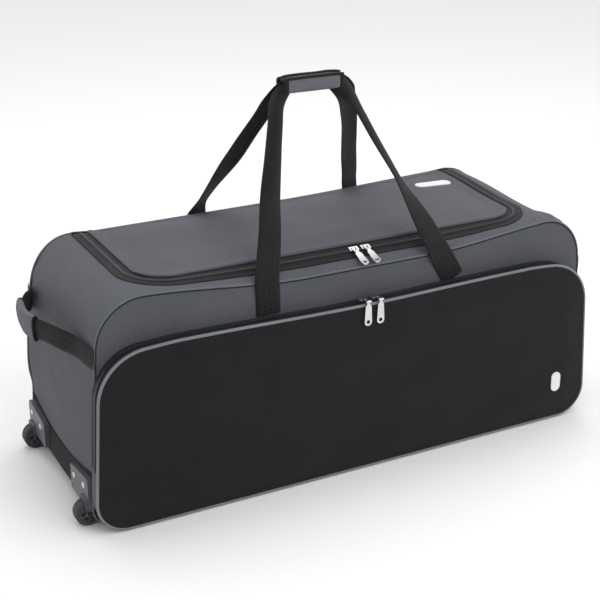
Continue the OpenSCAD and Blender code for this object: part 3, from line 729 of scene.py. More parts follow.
xz, _, _ = column_face(pocket, 64)
x, z = xz[..., 0], xz[..., 1]
solidify(sheet("pocket_face", np.stack([x, pocket_front(x, z), z], -1), np.stack([x, z], -1)), POCKET_WALL)


def loop_steps(s0, s1, spacing):
    """Even steps of loop distance from s0 to s1."""
    return np.linspace(s0, s1, max(8, int((s1 - s0) / spacing)))


def side_sweep(name, y0, y1, s0, s1, profile, rows=10, amount=0.0008):
    """Cloth round the pocket's outline from loop distance s0 to s1, between two Y planes."""
    s = loop_steps(s0, s1, 0.006)[:, None]
    t = np.linspace(0, 1, rows)[None]
    p, n = pocket.at(s + 0 * t)
    p = pocket.drop(p)
    y = y0 + (y1 - y0) * t + 0 * s
    q = np.stack([p[..., 0], y, p[..., 1]], -1)
    push = profile(t) + 0 * s + np.sin(math.pi * t) * amount * waves(q, 71, 0.06)
    floor_ease = np.clip((p[..., 1] - 0.009) / 0.03, 0.0, 1)
    q[..., 0] += n[..., 0] * push
    q[..., 2] += n[..., 1] * push * np.where(p[..., 1] < 0.05, floor_ease, 1)
    solidify(sheet(name, q, np.stack([y, s + 0 * t], -1), True), GUSSET_WALL)


def soft_arch(t):
    """Fullness of the gusset across its width."""
    return 0.0016 * np.sin(math.pi * t)


BAND_TOP = 0.030       # where the gusset's grey cloth meets its black base
s_fold_right, s_fold_left = pocket.s_of(1, z=FOLD_Z), pocket.s_of(-1, z=FOLD_Z)
s_band_right, s_band_left = pocket.s_of(1, z=BAND_TOP), pocket.s_of(-1, z=BAND_TOP)
ZIP_Y = (FRONT_Y + POCKET_Y) / 2
for name, s0, s1 in (("base", s_band_left - pocket.total, s_band_right), ("left", s_fold_left, s_band_left),
                     ("right", s_band_right, s_fold_right)):
    side_sweep(f"pocket_gusset_{name}", POCKET_Y, FRONT_Y, s0, s1, soft_arch)
side_sweep("pocket_tape_body", ZIP_Y + TAPE_GAP, FRONT_Y, s_fold_right, s_fold_left, tape_profile, 12, 0.0002)
side_sweep("pocket_tape_flap", POCKET_Y, ZIP_Y - TAPE_GAP, s_fold_right, s_fold_left,
           lambda t: tape_profile(1 - t), 12, 0.0002)


def loop_path(y, s0, s1, spacing, out=0.0):
    """Line round the pocket's outline at one Y, out metres outside it."""
    p, n = pocket.at(loop_steps(s0, s1, spacing))
    p = pocket.drop(p) + n * out
    return np.stack([p[:, 0], 0 * p[:, 0] + y, p[:, 1]], -1)


def pocket_zip_normal(p):
    """Outward direction of the pocket's outline nearest a point."""
    near = np.argmin(((pocket.ring - [p[0], min(p[2], POCKET_TOP)]) ** 2).sum(1))
    _, n = pocket.at(pocket.s[near])
    return np.array([n[0], 0, n[1]])


pocket_zip_path = resample(loop_path(ZIP_Y, s_fold_right, s_fold_left, 0.004), 0.004)
teeth("pocket_teeth_body", pocket_zip_path, pocket_zip_normal, -1)
teeth("pocket_teeth_flap", pocket_zip_path, pocket_zip_normal, 1)
piping_path = loop_path(POCKET_Y + 0.0024, 0, pocket.total, 0.006, 0.0012)[:-1]
cord("pocket_piping", piping_path, 0.0030, (0, 1, 0), 10)


# ---------------------------------------------------------------- seams, piping, painted seam shade and highlight of the main compartment
def body_seam(y, dip, out):
    """Closed line round the front or back seam."""
    s = np.arange(0, body.total, 0.007)
    p, n = body.at(s)
    fall = np.where(p[:, 1] > 0.3, dip(p[:, 0]) * step((n[:, 1] - 0.2) / 0.3), 0)
    lift = np.where(p[:, 1] < 0.03, 0.0, 1.0)
    if y > MID_Y:
        on_end = step((np.abs(n[:, 0]) - 0.5) / 0.4) * step((p[:, 1] - 0.11) / 0.05)
        y = y - 0.006 * on_end
        out = out + on_end * (rear_bulge(p[:, 1]) + 0.0024)
    return np.stack([p[:, 0] + n[:, 0] * out, y + 0 * s, p[:, 1] - fall + n[:, 1] * out * lift], -1)


for word, y, inward, dip in (("front", FRONT_Y, 1, seam_dip), ("back", BACK_Y, -1, back_dip)):
    # The seam cord's grey is lighter than the cloth: partly the cord's own paler grey, partly a painted
    # highlight.
    cord(f"{word}_seam_cord", body_seam(y + inward * 0.0016, dip, 0.0008), 0.0020, (0, 1, 0))
    # A thin black cord just inside each seam cord: painted shade standing in for the shadow in the seam's
    # recess.
    cord(f"{word}_seam_line", body_seam(y - inward * 0.0003, dip, -0.0016), 0.0011, (0, 1, 0), 6)


def stitch_row(build, path, normal, long=0.0030, pitch=0.0046):
    """Thread stitches lying along a line, on the face that normal points out of."""
    wide, high, lift, d = 0.0009, 0.0007, 0.0003, 0.0005
    s = lengths(path)
    at = np.arange(pitch / 2, s[-1], pitch)
    t = unit(points_at(path, s, at + d) - points_at(path, s, at - d))
    up = unit(np.asarray(normal, float) + 0 * t)
    for c, a, e, w in zip(points_at(path, s, at), t, unit(np.cross(up, t)), up):
        c = c + w * lift
        top = [c + a * i * long * 0.32 + e * j * wide * 0.3 + w * high for i in (-1, 1) for j in (-1, 1)]
        low = [c + a * i * long * 0.5 + e * j * wide * 0.5 - w * high * 0.4 for i in (-1, 1) for j in (-1, 1)]
        build.raw(low + top, [(4, 6, 7, 5), (0, 1, 5, 4), (1, 3, 7, 5), (3, 2, 6, 7), (2, 0, 4, 6)])


for name, sign, y_end, lift in (("bag_stitches", 1, HINGE_Y, 0.0026),
                                ("lid_stitches", -1, LID_BACK_Y, 0.0030)):
    b = Build()
    stitch_row(b, resample(over_top(lid_line(sign * (TAPE_W - 0.0015), y_end), lift), 0.004), (0, 0, 1))
    b.make(name, smooth=False)


# ---------------------------------------------------------------- webbing
def ribbon(build, path, normal, width, curl, thick, across=9):
    """Webbing along path: normal is its face direction, curl the total angle its edges are rolled back."""
    t = tangents(path)
    w = unit(np.cross(t, unit(np.asarray(normal, float) + 0 * t)))
    n = unit(np.cross(w, t))
    width = np.broadcast_to(width, len(path))
    curl = np.maximum(curl, 1e-3)
    a = np.linspace(-1, 1, across)
    ang = a[None] * curl[:, None] / 2
    radius = width / curl
    off_w = radius[:, None] * np.sin(ang)
    off_n = radius[:, None] * (np.cos(ang) - 1) + 0.35 * (radius * (1 - np.cos(curl / 2)))[:, None]
    rings = []
    for side in (0.5, -0.5):
        out = side * thick * (1 - 0.45 * np.abs(a) ** 6)[None]
        point = path[:, None] + w[:, None] * (off_w + out * np.sin(ang))[..., None]
        point += n[:, None] * (off_n + out * np.cos(ang))[..., None]
        rings.append(point if side > 0 else point[:, ::-1])
    u = a[None] * width[:, None] / 2
    u = np.concatenate([u, u[:, ::-1]], 1)
    build.patch(np.concatenate(rings, 1), np.stack([u, lengths(path)[:, None] + 0 * u], -1), close_v=True)
    ring = 2 * across
    build.cap(build.n - len(path) * ring, ring, flip=True)
    build.cap(build.n - ring, ring)


GRIP_MID_X, GRIP_HALF, GRIP_Z = mid("grip_wrap", 0), half_size("grip_wrap", 0), mid("grip_wrap", 2)
STRAP_X = {w: [mid(f"strap_patch_{w}_{s}", 0) for s in ("left", "right")] for w in ("front", "back")}


def strap_path(word, foot, pivot, run_y, lean, bow, foot_shift, seed):
    """Line of one carry strap from its left foot, up, through the grip and down to its right foot."""
    left, right = STRAP_X[word]
    gx, h = GRIP_MID_X, GRIP_HALF
    lo, hi = np.array(pivot), np.array([run_y, GRIP_Z - 0.004])
    rise = (0.0, 0.12, 0.35, 0.6, 0.82, 0.94)

    def leg(x0, x1, f, bow=0.0):
        y, z = lo + (hi - lo) * f
        return (x0 + (x1 - x0) * f + bow * 2.6 * f * math.sqrt(1 - f), y, z)

    pts = [(left, *foot[0]), (left + 0.5 * lean[0], *foot[1])]
    pts += [leg(left + lean[0], gx - h - 0.006, f) for f in rise]
    pts += [(gx + k * (h - 0.012), run_y, GRIP_Z + 0.005) for k in (-1, 0, 1)]
    pts += [leg(right + lean[1], gx + h + 0.006, f, bow) for f in rise[::-1]]
    pts += [(right + 0.6 * lean[1], *foot[1]), (right + foot_shift, *foot[0])]
    path = resample(spline(pts, 700), 0.006)
    up, down = (path[:, 2] - pivot[1] - 0.02) / 0.08, (GRIP_Z - 0.03 - path[:, 2]) / 0.05
    loose = np.clip(up, 0, 1) * np.clip(down, 0, 1) * 0.0022
    sway = [loose * waves(path, seed + k, scale) for k, scale in ((0, 0.16), (1, 0.14))]
    return path + np.stack([*sway, 0 * loose], 1)


def strap(word, foot, pivot, run_y, face, lean, twist, fold, seed, bow, foot_shift=0.0):
    """One carry strap as a single ribbon with its sewn feet. Each pair is for the left and the right leg:
    lean in metres, twist as (near the foot, near the grip) and fold across the webbing in radians."""
    path = strap_path(word, foot, pivot, run_y, lean, bow, foot_shift, seed)
    on_left = path[:, 0] < GRIP_MID_X
    above = path[:, 2] - pivot[1]
    up = np.clip(above / (GRIP_Z - pivot[1]), 0, 1)
    direction = unit(np.array([0, GRIP_Z - pivot[1], pivot[0] - run_y]) * face)
    freed = step((above + 0.03) / 0.06)[:, None]
    normal = unit(np.array([0, face, 0]) * (1 - freed) + direction * freed)
    near, far = [np.where(on_left, *pair) for pair in zip(*twist)]
    turn = (near + (far - near) * step((up - 0.08) / 0.40)) * step((above + 0.034) / 0.045)
    turn = (turn * step((1.02 - up) / 0.20))[:, None]
    normal = normal * np.cos(turn) + np.cross(tangents(path), normal) * np.sin(turn)
    curl = 0.12 + np.where(on_left, *fold) * step((up - 0.15) / 0.72)
    held = step((GRIP_HALF - np.abs(path[:, 0] - GRIP_MID_X)) / 0.02) * (up > 0.7)
    b = Build()
    ribbon(b, path, normal, STRAP_W - 0.003 * step(up / 0.25) - 0.014 * held, curl, 0.0020, 13)
    b.make(f"{word}_carry_strap")


front_foot_y, back_foot_y = FRONT_Y - 0.0030, BACK_Y + 0.0105
FRONT_PIVOT = tuple(JOINT["front_handle_drop"]["pos_m"][1:])
BACK_PIVOT = tuple(JOINT["back_handle_drop"]["pos_m"][1:])
strap("front", [(front_foot_y, POCKET_TOP + 0.004), (front_foot_y, SEAM_Z - 0.018)],
      (FRONT_PIVOT[0] - 0.001, FRONT_PIVOT[1]), run_y=-0.019, face=-1, lean=(-0.002, -0.031),
      twist=((0.0, 0.15), (-0.12, -0.85)), fold=(3.0, 1.8), seed=81, bow=0.004, foot_shift=0.007)
strap("back", [(back_foot_y, TOP_Z - 0.060), (back_foot_y - 0.0008, TOP_Z - 0.018)],
      (BACK_PIVOT[0] + 0.0005, BACK_PIVOT[1]), run_y=-0.006, face=1, lean=(0.003, -0.003),
      twist=((0.48, 0.05), (-0.45, -0.40)), fold=(1.6, 1.2), seed=91, bow=0.009)


def box_x(build, cx, y, z0, z1, half, out, lean=0.0):
    """Box-and-cross stitching on a strap foot that leans by lean metres per metre of height."""
    a, b, c, d = [(cx + k * half, z) for z in (z0, z1) for k in (-1, 1)]
    t = np.linspace(0, 1, 12)[:, None]
    for (x0, low), (x1, high) in ((a, b), (b, d), (d, c), (c, a), (a, d), (b, c)):
        line = np.array([x0, y, low]) * (1 - t) + np.array([x1, y, high]) * t
        line[:, 0] += lean * (line[:, 2] - z0 + 0.006)
        stitch_row(build, line, (0, out, 0), long=0.0028, pitch=0.0040)


b = Build()
for cx, lean in zip((STRAP_X["front"][0], STRAP_X["front"][1] + 0.006), (0.0, -0.55)):
    box_x(b, cx, FRONT_Y - 0.0042, POCKET_TOP + 0.010, POCKET_TOP + 0.034, 0.019, -1, lean)
for cx in STRAP_X["back"]:
    box_x(b, cx, BACK_Y + 0.0118, TOP_Z - 0.054, TOP_Z - 0.020, 0.020, 1)
b.make("strap_stitches", smooth=False)


# ---------------------------------------------------------------- padding
def fill_out(ob, cap):
    """Lets a padded piece swell by a short cloth simulation; open ends stay sewn, no point moves over cap."""
    apply_modifiers(ob)
    frames = 16
    start = np.array([v.co for v in ob.data.vertices])
    pins = ob.vertex_groups.new(name="sewn")
    x = start[:, int(np.argmax(np.ptp(start, axis=0)))]
    ends = np.minimum(x - x.min(), x.max() - x) < 0.004
    pins.add([int(i) for i in np.nonzero(ends)[0]], 1.0, "REPLACE")
    m = ob.modifiers.new("pad", "CLOTH")
    cloth = m.settings
    cloth.vertex_group_mass = "sewn"
    cloth.quality, cloth.mass = 6, 0.25
    cloth.tension_stiffness = cloth.compression_stiffness = 12
    cloth.bending_stiffness = 0.6
    cloth.use_pressure, cloth.uniform_pressure_force = True, 4.0
    cloth.effector_weights.gravity = 0
    m.collision_settings.use_collision = False
    m.point_cache.frame_start, m.point_cache.frame_end = 1, frames
    for k in range(1, frames + 1):
        bpy.context.scene.frame_set(k)
    done = ob.evaluated_get(bpy.context.evaluated_depsgraph_get()).data
    end = np.array([v.co for v in done.vertices])
    ob.modifiers.remove(m)
    ob.vertex_groups.remove(pins)
    bpy.context.scene.frame_set(1)
    move = end - start
    far = np.linalg.norm(move, axis=1, keepdims=True)
    move *= np.minimum(1, cap / np.maximum(far, 1e-9))
    ob.data.vertices.foreach_set("co", (start + move).ravel())
    ob.data.update()
    sub = ob.modifiers.new("smooth", "SUBSURF")
    sub.levels = sub.render_levels = 1


# ---------------------------------------------------------------- carry grip
GRIP_LOW_Y, GRIP_HIGH_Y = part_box("grip_wrap")[0].y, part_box("grip_closure")[1].y
GRIP_MID_Y = (GRIP_LOW_Y + GRIP_HIGH_Y) / 2
GRIP_EGG = 0.0045          # how much higher the section's middle lies than the grip's
# Section of the bias binding at the sleeve's ends: how far inwards along the sleeve, and how far outside it
BAND_SECTION = ((0.003, -0.0050), (-0.001, -0.0038), (-0.0022, -0.0015), (-0.0015, 0.0008), (0.0, 0.0017),
                (0.004, 0.0022), (0.0075, 0.0020), (0.0085, 0.0004))


def grip_ring():
    """Closed section of the padded grip in Y and Z, a little egg-shaped."""
    a = np.linspace(0, 2 * math.pi, 97)[:-1]
    c, s = np.cos(a), np.sin(a)
    y = GRIP_MID_Y + np.sign(c) * np.abs(c) ** 0.45 * (GRIP_HIGH_Y - GRIP_LOW_Y) / 2
    z = GRIP_Z + GRIP_EGG + np.sign(s) * np.abs(s) ** 0.45 * (half_size("grip_wrap", 2) - GRIP_EGG)
    return np.stack([y, z], 1)


def grip_shell(name, ring, seed):
    """The part of the sleeve that follows some points of its section, padded between its two bound ends."""
    u = np.linspace(-1, 1, 46)
    x = GRIP_MID_X + GRIP_HALF * u
    q = np.zeros((len(u), len(ring), 3))
    q[..., 0] = x[:, None]
    q[..., 1:] = ring[None]
    swell = (1 - np.abs(u) ** 4)[:, None]
    full = 0.0012 * swell + 0.0008 * waves(q, seed, 0.045) * swell - 0.0015 * (np.abs(u) ** 10)[:, None]
    q[..., 1:] += unit(ring - [GRIP_MID_Y, GRIP_Z])[None] * full[..., None]
    s = lengths(ring)[None] + 0 * u[:, None]
    ob = sheet(name, q, np.stack([x[:, None] + 0 * s, s], -1), True)
    solidify(ob, 0.0045)
    fill_out(ob, 0.003)
    return q


def end_bands(build, q):
    """Bias binding folded over both ends of the sleeve."""
    middle = np.array([0, *section.mean(0)])
    for ring, inward in ((q[0], 1), (q[-1], -1)):
        out = unit((ring - middle) * (0, 1, 1))
        rows = np.stack([ring + out * lift + np.array([inward * along, 0, 0])
                         for along, lift in BAND_SECTION])
        s = lengths(ring)[None] + 0 * rows[..., 0]
        build.patch(rows, np.stack([s, 0.002 * np.arange(len(rows))[:, None] + 0 * s], -1), flip=inward > 0)


section = grip_ring()
top_split = int(np.argmin(np.abs(section[:48, 0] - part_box("grip_closure")[0].y)))
low_split = len(section) - top_split
front_q = grip_shell("grip_sleeve_front", section[top_split:low_split + 1], 101)
back_q = grip_shell("grip_sleeve_back", np.concatenate([section[low_split + 1:], section[:top_split]]), 102)
b = Build()
end_bands(b, front_q)
tube(b, resample(front_q[:, 0], 0.003) + np.array([0, 0, 0.0008]), 0.0034, (0, 0, 1))
middle_ring = front_q[len(front_q) // 2]
front_edge = int(np.argmax(middle_ring[:, 2] - 0.55 * middle_ring[:, 1]))
tube(b, resample(front_q[:, front_edge], 0.003) + np.array([0, -0.0006, 0.0010]), 0.0030, (0, 0, 1))
b.make("grip_binding_front")
b = Build()
end_bands(b, back_q)
b.make("grip_binding_back")


# ---------------------------------------------------------------- end handles
END_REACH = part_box("right_handle_web")[1].x - 0.0015
HANDLE_HINGE_X = JOINT["right_handle_lift"]["pos_m"][0]
SLEEVE_HALF, SLEEVE_DEEP = 0.0225, 0.0062     # half height and half thickness of a handle's sleeve


def end_line(side):
    """Line of an end handle from the front seam to the back seam, rising from its sewn ends to the sleeve."""
    h = HANDLE_HINGE_X
    half = [(0.1825, h - 0.0208), (0.172, h - 0.0180), (0.150, h - 0.0125), (0.126, h - 0.0045),
            (0.100, h + 0.0130), (0.072, h + 0.0275), (0.036, END_REACH - 0.0040), (0.0, END_REACH)]
    pts = [(side * x, MID_Y - y, 0) for y, x in half] + [(side * x, MID_Y + y, 0) for y, x in half[-2::-1]]
    path = resample(spline(pts, 300), 0.004)
    rise = step((0.180 - np.abs(path[:, 1] - MID_Y)) / 0.110)
    sag = 0.007 * step((path[:, 1] - MID_Y) / 0.09) + (0.006 if side > 0 else 0)
    path[:, 0] += side * 0.0055 * step((path[:, 1] - BACK_Y + 0.09) / 0.08)
    path[:, 2] = END_Z - 0.011 + 0.017 * rise - sag + 0.0015 * waves(path, 111 + side, 0.15)
    return path


def sleeve_section():
    """Flat, rounded section of a handle's sleeve: outwards from the bag, and up."""
    a = 2 * math.pi * np.arange(40) / 40
    c, d = np.cos(a), np.sin(a)
    across, up = np.sign(c) * np.abs(c) ** 0.8, np.sign(d) * np.abs(d) ** 0.7
    return np.stack([across * SLEEVE_DEEP, up * SLEEVE_HALF], 1)


def end_handle(side, word):
    """One end handle: webbing in two halves that meet inside a folded, padded sleeve with bound ends."""
    path = end_line(side)
    place = path[:, 1] - MID_Y
    out = np.cross(tangents(path), (0, 0, 1.0))
    if out[len(out) // 2, 0] * side < 0:
        out = -out
    for end, part in ((-1, "front"), (1, "back")):
        keep = place * end > -0.002
        b = Build()
        curl = 0.18 + 0.5 * step((0.11 - np.abs(place[keep])) / 0.05)
        ribbon(b, path[keep], out[keep], HANDLE_W, curl, 0.0022)
        b.make(f"{word}_handle_strap_{part}")
    keep = (place > -0.050) & (place < 0.062)
    line, face = path[keep], out[keep][:, None]
    s = lengths(line)[:, None]
    u = (s - s[-1] / 2) / (s[-1] / 2)
    across, up = np.split(sleeve_section()[None], 2, 2)
    q = line[:, None] + face * across + np.array([0, 0, 1.0]) * up
    q[..., 2] += (SLEEVE_HALF - up[..., 0]) * 0.36 * step((u + 0.55) / 1.4)
    full = 0.0014 * (1 - np.abs(u) ** 6) + 0.0012 * waves(q, 121 + side, 0.035)
    q += face * np.sign(across) * full[..., None]
    ring_s = lengths(sleeve_section())[None]
    b = Build()
    b.patch(q, np.stack([s + 0 * ring_s, ring_s + 0 * s], -1), close_v=True, flip=True)
    pad = b.make(f"{word}_handle_sleeve")
    solidify(pad, 0.002)
    fill_out(pad, 0.004)
    b = Build()
    for k in (0, -1):
        tube(b, resample(np.concatenate([q[k], q[k][:1]]), 0.002)[:-1], 0.0019, (0, 1, 0), 8, True)
    b.make(f"{word}_handle_binding")


for side, word in ((-1, "left"), (1, "right")):
    end_handle(side, word)


# ---------------------------------------------------------------- lid hinge strip and zip ends
hinge_xy = np.stack(np.meshgrid(np.linspace(-LID_HALF + TAPE_W + 0.002, LID_HALF - TAPE_W - 0.002, 120),
                                np.linspace(LID_BACK_Y - 0.010, HINGE_Y + 0.007, 14), indexing="ij"), -1)
hinge_lift = 0.0030 + 0.0008 * hump(hinge_xy[..., 1], HINGE_Y, 0.003)
solidify(sheet("lid_hinge_binding", over_top(hinge_xy, hinge_lift), hinge_xy), THIN_WALL)


def rounded_tab(build, cx, cy, hx, hy, high):
    """A small sewn tab with round corners lying on the top."""
    a = np.linspace(0, 2 * math.pi, 33)[:-1]
    ring = np.stack([np.clip(np.cos(a) * 1.6, -1, 1) * hx, np.clip(np.sin(a) * 1.6, -1, 1) * hy], 1)
    rows = [over_top(np.array([cx, cy]) + ring * size, high * lift)
            for size, lift in ((1.0, 0.0), (1.0, 0.7), (0.93, 1.0), (0.5, 1.05))]
    p = np.stack(rows)
    build.patch(p, p[..., :2], close_v=True, flip=True)
    build.cap(build.n - len(ring), len(ring))


b = Build()
for sign in (-1, 1):
    rounded_tab(b, sign * LID_HALF, HINGE_Y + 0.006, 0.014, 0.0055, 0.0032)
b.make("lid_zip_end_tabs")


# ---------------------------------------------------------------- plain badges
# Section of a blank plate from its edge to its middle: share of its size, and height above the cloth
PLATE_SECTION = ((1.0, 0.0002), (1.0, 0.0014), (0.985, 0.0020), (0.94, 0.0022), (0.92, 0.0019),
                 (0.6, 0.0019), (0.3, 0.0019), (0.02, 0.0019))


def badge(name, on_cloth, cx, cy, hx, hy):
    """A small blank plate that follows the cloth under it; on_cloth(u, v) gives its place and normal."""
    a = np.linspace(0, 2 * math.pi, 65)[:-1] + 0.001
    r = min(hx, hy)
    u = np.sign(np.cos(a)) * (hx - r) + r * np.cos(a)
    v = np.sign(np.sin(a)) * (hy - r) + r * np.sin(a)
    rows = []
    for size, lift in PLATE_SECTION:
        p, n = on_cloth(cx + u * size, cy + v * size)
        rows.append(p + n * lift)
    p = np.stack(rows)
    b = Build()
    b.patch(p, np.stack([p[..., 0], p[..., 1] + p[..., 2]], -1), close_v=True, flip=True)
    b.cap(b.n - len(a), len(a))
    b.make(name)


def on_lid(x, y):
    """Point and normal on the lid's cloth."""
    d = 0.003
    n = np.stack([lid_height(x - d, y) - lid_height(x + d, y),
                  lid_height(x, y - d) - lid_height(x, y + d), 0 * x + 2 * d], -1)
    return np.stack([x, y, lid_height(x, y)], -1), unit(n)


def on_pocket(x, z):
    """Point and normal on the pocket's face."""
    d = 0.003
    n = np.stack([pocket_front(x + d, z) - pocket_front(x - d, z), 0 * x - 2 * d,
                  pocket_front(x, z + d) - pocket_front(x, z - d)], -1)
    return np.stack([x, pocket_front(x, z), z], -1), unit(n)


badge("lid_name_plate", on_lid, *[size("lid_badge", axis) for size in (mid, half_size) for axis in (0, 1)])
badge("pocket_name_plate", on_pocket,
      *[size("pocket_badge", axis) for size in (mid, half_size) for axis in (0, 2)])


# ---------------------------------------------------------------- materials
def srgb(r, g, b):
    """A linear RGBA colour from 0..255 display values."""
    c = np.array([r, g, b]) / 255
    lin = np.where(c <= 0.04045, c / 12.92, ((c + 0.055) / 1.055) ** 2.4)
    return (*[float(k) for k in lin], 1.0)


def grey(level):
    """A neutral linear RGBA colour."""
    return (level, level, level, 1)


class Shader:
    """Small helper for building a procedural material."""

    def __init__(self, name, rough, metallic=0.0, sheen=0.0, specular=0.5):
        self.mat = bpy.data.materials.new(name)
        self.mat.use_nodes = True
        self.tree = self.mat.node_tree
        self.bsdf = next(n for n in self.tree.nodes if n.type == "BSDF_PRINCIPLED")
        for socket, value in (("Roughness", rough), ("Metallic", metallic), ("Specular IOR Level", specular),
                              ("Sheen Weight", sheen), ("Sheen Roughness", 0.5)):
            self.bsdf.inputs[socket].default_value = value

    def add(self, kind, inputs, **settings):
        """A node with settings; each input is a value or the output of another node."""
        n = self.tree.nodes.new(kind)
        for key, value in settings.items():
            setattr(n, key, value)
        for socket, value in inputs.items():
            if hasattr(value, "links"):
                self.tree.links.new(value, n.inputs[socket])
            else:
                n.inputs[socket].default_value = value
        return n.outputs

    def feed(self, socket, value):
        """Links a node's output to the surface."""
        self.tree.links.new(value, self.bsdf.inputs[socket])

    def math(self, op, *values):
        return self.add("ShaderNodeMath", dict(enumerate(values)), operation=op)[0]

    def uv_parts(self):
        """Distances across and along the cloth."""
        uv = self.add("ShaderNodeUVMap", {}, uv_map="cloth")[0]
        return self.add("ShaderNodeSeparateXYZ", {0: uv})[:2]

    def place(self):
        return self.add("ShaderNodeTexCoord", {})["Object"]

    def noise(self, vector, scale, detail=3.0, rough=0.55):
        inputs = {"Vector": vector, "Scale": scale, "Detail": detail, "Roughness": rough}
        return self.add("ShaderNodeTexNoise", inputs)["Fac"]

    def ramp(self, fac, low, high, a=0.3, b=0.7):
        out = self.add("ShaderNodeValToRGB", {0: fac})[0]
        for stop, color, where in zip(out.node.color_ramp.elements, (low, high), (a, b)):
            stop.color, stop.position = color, where
        return out

    def tint(self, a, b):
        inputs = {"Factor": 1.0, "A": a, "B": b}
        return self.add("ShaderNodeMix", inputs, data_type="RGBA", blend_type="MULTIPLY")["Result"]

    def bump(self, height, strength, distance):
        inputs = {"Strength": strength, "Distance": distance, "Height": height}
        self.feed("Normal", self.add("ShaderNodeBump", inputs)[0])

    def rough(self, fac, low, high):
        inputs = {"Value": fac, "To Min": low, "To Max": high}
        self.feed("Roughness", self.add("ShaderNodeMapRange", inputs)[0])


def shade(color, k):
    """The colour made k times lighter."""
    return (*[min(1.0, c * k) for c in color[:3]], 1.0)


def base_tone(s, color, spread, fine_scale=520.0):
    """Colour that drifts slowly over the piece and is flecked at the scale of the yarn."""
    place = s.place()
    slow = s.ramp(s.noise(place, 7.0, 4.0), shade(color, 1 - spread), shade(color, 1 + spread))
    fleck = s.ramp(s.noise(place, fine_scale, 1.5), (0.80, 0.80, 0.81, 1), grey(1), 0.35, 0.65)
    return s.tint(slow, fleck), place


def woven(name, color, thread=0.0011, spread=0.10, sheen=0.08, bump=0.45):
    """Plain weave with small wrinkles."""
    s = Shader(name, 0.85, sheen=sheen, specular=0.22)
    tone, place = base_tone(s, color, spread)
    warp, weft = [s.math("SINE", s.math("MULTIPLY", k, 2 * math.pi / thread)) for k in s.uv_parts()]
    weave = s.math("MULTIPLY", warp, weft)
    s.bump(s.math("MULTIPLY_ADD", s.noise(place, 26.0, 5.0, 0.6), 2.2, weave), bump, thread * 0.35)
    s.feed("Base Color", s.tint(tone, s.ramp(weave, grey(0.86), grey(1), 0.0, 0.8)))
    s.rough(s.noise(place, 14.0), 0.72, 0.95)
    return s.mat


def webbing(name, color, rib=0.0017, chevron=0.005, sheen=0.06, bump=0.8):
    """Ribbed tape whose ribs zigzag across it."""
    s = Shader(name, 0.7, sheen=sheen, specular=0.25)
    tone, place = base_tone(s, color, 0.10, 700.0)
    across, along = s.uv_parts()
    slanted = s.math("ADD", along, s.math("PINGPONG", across, chevron))
    ribs = s.math("SINE", s.math("MULTIPLY", slanted, 2 * math.pi / rib))
    yarn = s.math("SINE", s.math("MULTIPLY", across, 2 * math.pi / 0.0014))
    s.bump(s.math("MULTIPLY_ADD", yarn, 0.35, ribs), bump, rib * 0.22)
    s.feed("Base Color", s.tint(tone, s.ramp(ribs, (0.66, 0.66, 0.67, 1), grey(1), 0.1, 0.9)))
    s.rough(s.noise(place, 30.0), 0.55, 0.85)
    return s.mat


def moulded(name, color, rough=(0.35, 0.6), grain=900.0, bump=0.12, spread=0.08, metallic=0.0, scuff=0.35):
    """Plastic, rubber or metal with a fine grain and small scuffs."""
    s = Shader(name, 0.5, metallic=metallic)
    place = s.place()
    slow = s.ramp(s.noise(place, 18.0, 4.0), shade(color, 1 - spread), shade(color, 1 + spread))
    worn = s.noise(place, 130.0, 6.0, 0.7)
    s.feed("Base Color", s.tint(slow, s.ramp(worn, grey(1), grey(1 + scuff), 0.62, 0.75)))
    s.bump(s.noise(place, grain, 2.0), bump, 0.0004)
    s.rough(worn, *rough)
    return s.mat


